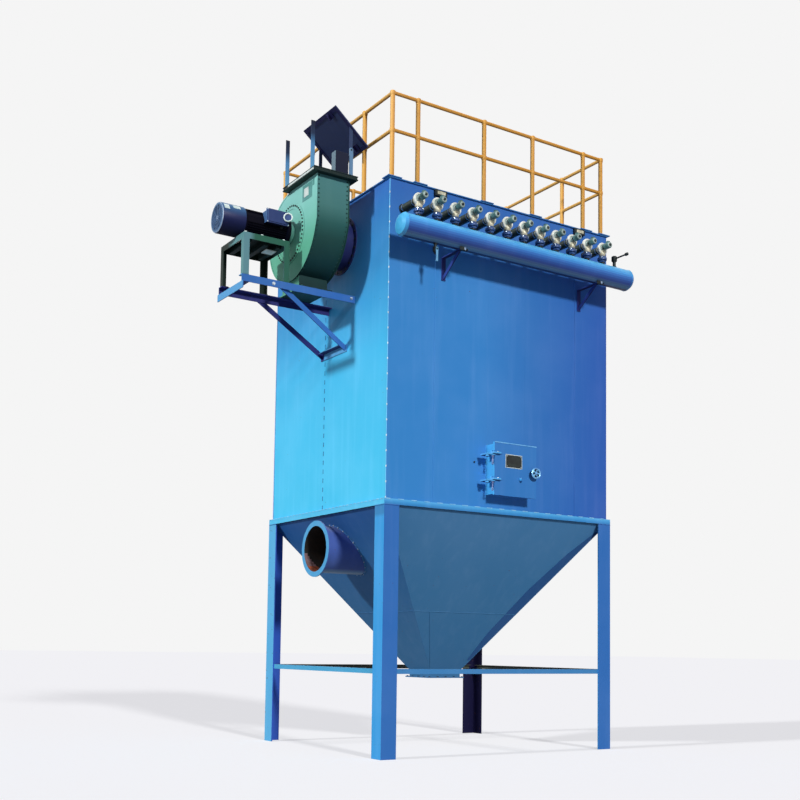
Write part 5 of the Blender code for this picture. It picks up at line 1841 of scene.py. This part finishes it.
@dataclass
class FanOutlet:
    """The outlet flange with the posts and hinge block of the rain cap."""

    low: float = 6.0003
    high: float = 6.0283
    outer: tuple[float, ...] = (-2.22, -0.96, -1.70, -0.24)
    inner: tuple[float, ...] = (-2.14, -0.88, -1.78, -0.32)
    neck: tuple[float, ...] = (-2.152, -0.892, -1.768, -0.308)
    cap_z: float = 6.5583
    # The pin through the eye posts, as (x, z), and the sides of the two posts.
    eye: Point2 = (-1.7785, 6.3058)
    eye_radius: float = 0.0225
    eye_sides: Point2 = (-0.942, -0.268)

    def build(self) -> None:
        """Build the flange, its bolts, the posts, the block and the rain cap."""
        shape = Shape()
        x0, y0, x1, y1 = self.outer
        shape.frame_ring(self.outer, self.inner, self.high - 0.008, self.high)
        shape.frame_ring((x0 + 0.006, y0 + 0.006, x1 - 0.006, y1 - 0.006), self.inner,
                         self.low, self.high - 0.008)
        shape.frame_ring(self.outer, self.neck, self.low - 0.016, self.low - 0.004)
        shape.frame_ring((x0 + 0.006, y0 + 0.006, x1 - 0.006, y1 - 0.006), self.neck,
                         self.low - 0.004, self.low)
        # Painted highlight: a pale strip on the flange's -X face, where the side sun falls.
        shape.finish = 1
        shape.box((x0 + 0.001, y0 + 0.03, self.low - 0.003),
                  (x0 + 0.008, y1 - 0.12, self.high - 0.009))
        self.posts(shape)
        add_piece("fan_outlet_dressed", shape.done(0.0015),
                  (FLANGE_GREEN, PALE_PLATE, POST_BLUE, EYE_BLUE, BLOCK_GREEN),
                  replaces=("fan_outlet_flange",))
        inset = 0.030
        places = round_rim((x0 + inset, y0 + inset), (x1 - inset, y1 - inset), self.high, (5, 7))
        add_bolts("fan_outlet_bolts", places, UP, DARK_STEEL,
                  Head(0.010, 0.009, 0.013))
        self.cap()

    def posts(self, shape: Shape) -> None:
        """Add the two tall posts, the two eye posts and the block.

        Args:
            shape: The mesh that it joins.
        """
        seat = self.high - 0.012
        shape.finish = 2
        for y in (-0.84, -0.268):
            shape.box((-2.202, y, seat), (-2.157, y + 0.010, self.cap_z))
        shape.finish = 3
        for y in self.eye_sides:
            x, r = self.eye[0], self.eye_radius
            outline = [(x - r, seat), (x + r, seat)] + arc(self.eye, r, range(0, 181, 20))
            shape.prism(outline, 0.010, frame_at((0, y + 0.010, 0), (1, 0, 0), (0, 0, 1)))
        shape.finish = 4
        shape.box((-1.975, -0.956, seat), (-1.82, -0.872, 6.2483))

    def cap(self) -> None:
        """Build the rain cap: a sloping plate on an angle frame, its straps, pins and lugs."""
        slope, half_run, half_width = math.radians(40), 0.265, 0.35
        place = frame_at((-1.78, -0.60, self.cap_z), (math.cos(slope), 0, -math.sin(slope)),
                         (0, 1, 0))
        shape = Shape()
        shape.box((-half_run, -half_width, -0.005), (half_run, half_width, 0.005), place)
        for y in (-0.932, -0.270):
            outline = [(-1.7985, 6.285), (-1.7585, 6.285), (-1.7585, 6.536), (-1.7985, 6.570)]
            shape.prism(outline, 0.008, frame_at((0, y + 0.008, 0), (1, 0, 0), (0, 0, 1)))
        shape.finish = 1
        wide, deep = 0.045, 0.012
        for sx in (-1, 1):
            x = sorted((sx * half_run, sx * (half_run - wide)))
            shape.box((x[0], -half_width, -deep), (x[1], half_width, -0.004), place)
            y = sorted((sx * half_width, sx * (half_width - wide)))
            shape.box((-half_run + wide, y[0], -deep), (half_run - wide, y[1], -0.004), place)
        for along, across in ((-0.215, -0.19), (0.20, -0.19)):
            at = place @ Matrix.Translation((along, across, 0))
            shape.box((-0.035, -0.004, -0.062), (0.035, 0.004, -deep), at)
            shape.box((-0.035, -0.045, -0.020), (0.035, 0.004, -deep), at)
        add_piece("rain_cap_dressed", shape.done(0.001), (NAVY, NAVY_EDGE),
                  replaces=("rain_cap",))
        pins = Shape()
        x, z = self.eye
        for y in self.eye_sides:
            pins.bar((x, y - 0.008, z), (x, y + 0.024, z), 0.009)
        add_piece("rain_cap_pins", pins.done(), (DARK_STEEL,))


@dataclass
class Motor:
    """The fan's motor: fan cover, finned body, end shield, terminal box and conduit entry."""

    y: float = -0.30
    z: float = 5.515
    end_x: float = -2.995
    cover_radius: float = 0.160
    body_radius: float = 0.140
    fin_count: int = 40

    def at(self, x: float) -> Matrix:
        """Return a frame on the motor's axis whose Z runs along +X."""
        return frame_at((x, self.y, self.z), (0, 1, 0), (0, 0, 1))

    def build(self) -> None:
        """Build the motor in place of its plain CAD solid."""
        self.cover()
        self.barrel()
        self.terminal_box()
        self.small_parts()

    def cover(self) -> None:
        """Add the fan cover with its slotted end."""
        shape = Shape()
        r, end = self.cover_radius, self.at(self.end_x)
        shape.turned(((0.001, 0.132), (0.0, 0.146), (0.004, 0.155), (0.014, r), (0.262, r),
                      (0.262, r - 0.006), (0.016, r - 0.006), (0.008, 0.148), (0.006, 0.132)),
                     end, 48, closed=True)
        shape.finish = 1
        for i in range(7):
            shape.ring(self.at(self.end_x + 0.006), 0.036 + 0.0150 * i, 0.0045, 40, 6)
        for spot in circle(end, 0.136, 8):
            hub = Vector((self.end_x + 0.006, self.y, self.z))
            shape.bar(hub, Vector((self.end_x + 0.006, spot.y, spot.z)), 0.004, 6)
        shape.turned(((0.014, 0.0), (0.014, 0.150), (0.018, 0.150)), end, 32)
        shape.finish = 2
        shape.turned(((0.0035, 0.0), (0.0035, 0.022), (0.012, 0.026)), end, 24)
        shape.ring(self.at(self.end_x + 0.006), 0.1525, 0.0050, 48, 8)
        add_piece("motor_fan_cover", shape.done(), (MOTOR_NAVY, GRILLE_BLUE, PALE_BLUE))

    def barrel(self) -> None:
        """Add the body, its fins, the end shields, the shaft and the feet."""
        shape = Shape()
        shape.turned(((0.262, self.cover_radius - 0.008), (0.275, 0.150), (0.285, 0.148),
                      (0.285, self.body_radius), (0.735, self.body_radius), (0.735, 0.152),
                      (0.744, 0.165), (0.780, 0.165), (0.788, 0.120), (0.800, 0.095),
                      (0.800, 0.028), (0.8447, 0.028)), self.at(self.end_x), 40)
        x0, x1 = self.end_x + 0.320, self.end_x + 0.740
        low = 5.3203
        for x in (x0, x1 - 0.090):
            shape.box((x, self.y - 0.125, low), (x + 0.090, self.y + 0.125, low + 0.020))
            for sy in (-1, 1):
                foot = low - self.z + 0.018
                outline = [(sy * y, z) for y, z in ((0.108, foot), (0.070, foot),
                                                    (0.070, -0.095), (0.092, -0.095))]
                shape.prism(outline[::sy], 0.070, self.at(x + 0.010))
        add_piece("motor_body", shape.done(), (MOTOR_DARK,), replaces=("motor",))
        middle = self.at(self.end_x + 0.510)
        places, outward = [], []
        for spot in circle(middle, self.body_radius + 0.004, self.fin_count):
            away = (spot - middle.translation).normalized()
            if away.y < -0.78 and away.z > -0.15 or away.z < -0.86:
                continue
            places.append(spot)
            outward.append(away)
        mesh = FINS.run(point_marks(places, outward), MOTOR_DARK.material(),
                        {"Length": 0.448, "Thickness": 0.0035, "Height": 0.016})
        add_piece("motor_fins", mesh, ())
        shield = circle(self.at(self.end_x + 0.780), 0.142, 4, math.pi / 4)
        add_bolts("motor_shield_bolts", shield, (1, 0, 0), ZINC,
                  Head(0.010, 0.008, 0.011))
        feet = [(x, self.y + sy * 0.105, low + 0.020) for x in (x0 + 0.045, x1 - 0.045)
                for sy in (-1, 1)]
        add_bolts("motor_foot_bolts", feet, UP, ZINC,
                  Head(0.012, 0.010, 0.016))

    def terminal_box(self) -> None:
        """Add the terminal box with its lid, lid screws and cable gland."""
        x0, x1, y0, z0, z1 = -2.530, -2.275, -0.522, 5.505, 5.655
        shape = Shape()
        shape.box((x0 + 0.010, y0 + 0.026, z0 + 0.010), (x1 - 0.010, self.y - 0.090, z1 - 0.010))
        shape.box((x0, y0 + 0.006, z0), (x1, y0 + 0.028, z1))
        shape.finish = 1
        shape.box((x0 + 0.012, y0, z0 + 0.012), (x1 - 0.012, y0 + 0.007, z1 - 0.012))
        shape.finish = 2
        shape.turned(((0, 0.020), (0.014, 0.020), (0.016, 0.015), (0.030, 0.015)),
                     facing((-2.33, -0.45, z0 + 0.010), (0, 0, -1)), 6)
        add_piece("terminal_box_dressed", shape.done(0.003), (BOX_NAVY, BOX_NAVY, DARK_STEEL),
                  replaces=("terminal_box",))
        corners = [(x, y0 + 0.006, z) for x in (x0 + 0.009, x1 - 0.009)
                   for z in (z0 + 0.009, z1 - 0.009)]
        add_bolts("terminal_box_screws", corners, FRONT, ZINC,
                  Head(0.006, 0.004, 0.007, sides=8))

    def small_parts(self) -> None:
        """Add the plugged conduit entry beside the box and two blank plates on the cover."""
        shape = Shape()
        mouth = facing((-2.300, -0.545, 5.590), (-0.45, -0.89, 0.05))
        shape.turned(((-0.075, 0.030), (-0.030, 0.038), (-0.004, 0.040), (-0.004, 0.020)),
                     mouth, 24)
        shape.finish = 1
        shape.ring(mouth, 0.043, 0.0075, 28, 8)
        add_piece("motor_conduit_entry", shape.done(), (BOX_NAVY, PALE_PLATE))
        shape = Shape()
        for x0, x1, low, high in ((-2.972, -2.915, 22, 46), (-2.868, -2.790, 32, 50)):
            outline = []
            for t, r in ((low, 0.1615), ((low + high) / 2, 0.1625), (high, 0.1615),
                         (high, 0.158), (low, 0.158)):
                a = math.radians(t)
                outline.append((-r * math.cos(a), r * math.sin(a)))
            shape.prism(outline, x1 - x0, self.at(x0))
        add_piece("motor_blank_plates", shape.done(), (PALE_PLATE,))


@dataclass
class Carrier:
    """The motor's stand and the bracket under the fan."""

    beam_top: float = 4.88
    stand_top: float = 5.32
    near_y: float = -0.5875
    far_y: float = -0.0125
    stand_x0: float = -2.815
    stand_x1: float = -2.295

    def build(self) -> None:
        """Dress the stand and the bracket and add their bolts and cross members."""
        dress(STAND_GREEN, "motor_stand")
        dress(BRACKET_BLUE, "fan_bracket_front", "fan_bracket_end", "fan_bracket_wall_angle")
        dress(BRACKET_DARK, "fan_bracket_back")
        shape = Shape()
        low = self.beam_top + 0.001
        inside = self.near_y + 0.064, self.far_y - 0.064
        for x in (self.stand_x0 + 0.066, -2.56, self.stand_x1 - 0.118):
            shape.box((x, inside[0], self.stand_top - 0.075),
                      (x + 0.050, inside[1], self.stand_top - 0.012))
        shape.box((-2.70, -0.50, self.stand_top - 0.012), (-2.33, -0.10, self.stand_top - 0.001))
        shape.finish = 1
        shape.box((-2.50, -0.45, self.stand_top - 0.090), (-2.38, -0.33, self.stand_top - 0.080))
        shape.finish = 2
        for x in (self.stand_x0, self.stand_x1 - 0.063):
            for y in (self.near_y, self.far_y - 0.070):
                shape.box((x - 0.004, y, low), (x + 0.067, y + 0.070, low + 0.008))
        add_piece("motor_stand_details", shape.done(0.001),
                  (FLANGE_GREEN, PALE_PLATE, STAND_GREEN))
        heads = [(x, y, self.stand_top) for x in (-2.788, -2.600, -2.353)
                 for y in (self.near_y + 0.030, self.far_y - 0.030)]
        add_bolts("motor_stand_bolts", heads, UP, PALE_PLATE,
                  Head(0.016, 0.014, 0.020))
        face = self.near_y
        bolts = [(-2.47, face, self.beam_top - 0.040), (-1.545, face, self.beam_top - 0.030)]
        add_bolts("bracket_bolts", bolts, FRONT, ZINC)


# ---- stage --------------------------------------------------------------------------------


@dataclass(frozen=True)
class PhotoCamera:
    """The camera of the photograph, as fitted to the housing's edges."""

    place: tuple[float, ...] = (-7.5077, -10.9146, 1.1157)
    yaw: float = 0.5708
    pitch: float = 0.0745
    roll: float = 0.0137
    focal_px: float = 1130.92
    centre_v: float = 563.1458
    image_px: float = 800.0
    sensor: float = 36.0

    def build(self) -> None:
        """Create the camera and make it the scene's."""
        data = bpy.data.cameras.new("photo_camera")
        data.sensor_width = self.sensor
        data.lens = self.focal_px * self.sensor / self.image_px
        data.shift_y = (self.centre_v - self.image_px / 2) / self.image_px
        data.clip_end = 500.0
        ahead = Vector((math.sin(self.yaw) * math.cos(self.pitch),
                        math.cos(self.yaw) * math.cos(self.pitch), math.sin(self.pitch)))
        right = Vector((math.cos(self.yaw), -math.sin(self.yaw), 0))
        above = right.cross(ahead)
        c, s = math.cos(self.roll), math.sin(self.roll)
        x_axis, y_axis = c * right + s * above, c * above - s * right
        camera = bpy.data.objects.new("photo_camera", data)
        bpy.context.scene.collection.objects.link(camera)
        camera.matrix_world = frame_at(Vector(self.place) + SHIFT, x_axis, y_axis)
        bpy.context.scene.camera = camera


@dataclass(frozen=True)
class Studio:
    """Plain light from two suns, a pale floor and a near-white background."""

    backdrop: str = "F5F5F5"
    sky: str = "CDC8FF"
    ambient: float = 0.16
    side_sun: float = 2.25
    front_sun: float = 2.40
    side_travel: tuple[float, ...] = (1.0, 0.0, -0.45)
    front_travel: tuple[float, ...] = (0.10, 1.0, -0.435)
    side_width: float = 4.0
    front_width: float = 6.0
    floor_grey: str = "B8B8B8"
    floor_glow: float = 0.60
    floor_half: float = 150.0

    def build(self) -> None:
        """Set up the world, the lamps and the floor."""
        scene = bpy.context.scene
        scene.view_settings.view_transform = "Standard"
        self.world(scene)
        self.sun("side_sun", self.side_travel, self.side_sun, self.side_width)
        self.sun("front_sun", self.front_travel, self.front_sun, self.front_width)
        self.floor()

    def world(self, scene: bpy.types.Scene) -> None:
        """Light the scene evenly, and show the backdrop to the camera and in reflections.

        Args:
            scene: The scene that gets the world.
        """
        world = bpy.data.worlds.new("studio")
        world.use_nodes = True
        tree = world.node_tree
        shade = tree.nodes["Background"]
        rays = add_node(tree, "ShaderNodeLightPath")
        seen = rays.outputs["Is Camera Ray"]
        for kind in ("Is Glossy Ray", "Is Transmission Ray"):
            seen = add_node(tree, "ShaderNodeMath", {0: seen, 1: rays.outputs[kind]},
                            operation="MAXIMUM").outputs[0]
        level = add_node(tree, "ShaderNodeMapRange", {"Value": seen, "To Min": self.ambient,
                                                      "To Max": 1.0})
        tone = add_node(tree, "ShaderNodeMix", {0: seen, 6: linear(self.sky),
                                                7: linear(self.backdrop)}, data_type="RGBA")
        tree.links.new(tone.outputs[2], shade.inputs["Color"])
        tree.links.new(level.outputs[0], shade.inputs["Strength"])
        scene.world = world

    def sun(self, name: str, travel: Point, strength: float, width: float) -> None:
        """Add a soft sun lamp.

        Args:
            name: Its name.
            travel: The direction its light travels in.
            strength: Its strength.
            width: Its angle across, in degrees.
        """
        data = bpy.data.lights.new(name, "SUN")
        data.energy = strength
        data.angle = math.radians(width)
        lamp = bpy.data.objects.new(name, data)
        bpy.context.scene.collection.objects.link(lamp)
        lamp.matrix_world = facing((0, 0, 12), -Vector(travel))

    def floor(self) -> None:
        """Add the pale floor, which keeps the machine's shadow."""
        material = bpy.data.materials.new("pale_floor")
        material.use_nodes = True
        tree = material.node_tree
        tree.nodes.remove(tree.nodes["Principled BSDF"])
        plain = add_node(tree, "ShaderNodeBsdfDiffuse", {"Color": linear(self.floor_grey)})
        glow = add_node(tree, "ShaderNodeEmission", {"Color": linear(self.backdrop)})
        rays = add_node(tree, "ShaderNodeLightPath")
        level = add_node(tree, "ShaderNodeMath", {0: rays.outputs["Is Camera Ray"],
                                                  1: self.floor_glow}, operation="MULTIPLY")
        tree.links.new(level.outputs[0], glow.inputs["Strength"])
        both = add_node(tree, "ShaderNodeAddShader", {0: plain.outputs[0], 1: glow.outputs[0]})
        tree.links.new(both.outputs[0], tree.nodes["Material Output"].inputs["Surface"])
        mesh = bpy.data.meshes.new("floor")
        size = self.floor_half
        mesh.from_pydata([(-size, -size, 0), (size, -size, 0), (size, size, 0), (-size, size, 0)],
                         [], [(0, 1, 2, 3)])
        mesh.materials.append(material)
        floor = bpy.data.objects.new("floor", mesh)
        floor.location.z = -0.001
        bpy.context.scene.collection.objects.link(floor)


def main() -> None:
    """Build every sub-assembly, then the stage."""
    logging.basicConfig(level=logging.INFO, format="%(name)s %(message)s")
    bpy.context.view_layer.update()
    valves = [PulseValve(i + 1, VALVE_START + i * VALVE_PITCH) for i in range(VALVE_COUNT)]
    for part in (PhotoCamera(), Studio(), Housing(), Hopper(), Legs(), Railing(), AirHeader(),
                 *valves, Door(), FanCasing(), FanOutlet(), Motor(), Carrier()):
        part.build()


if __name__ == "__main__":
    main()
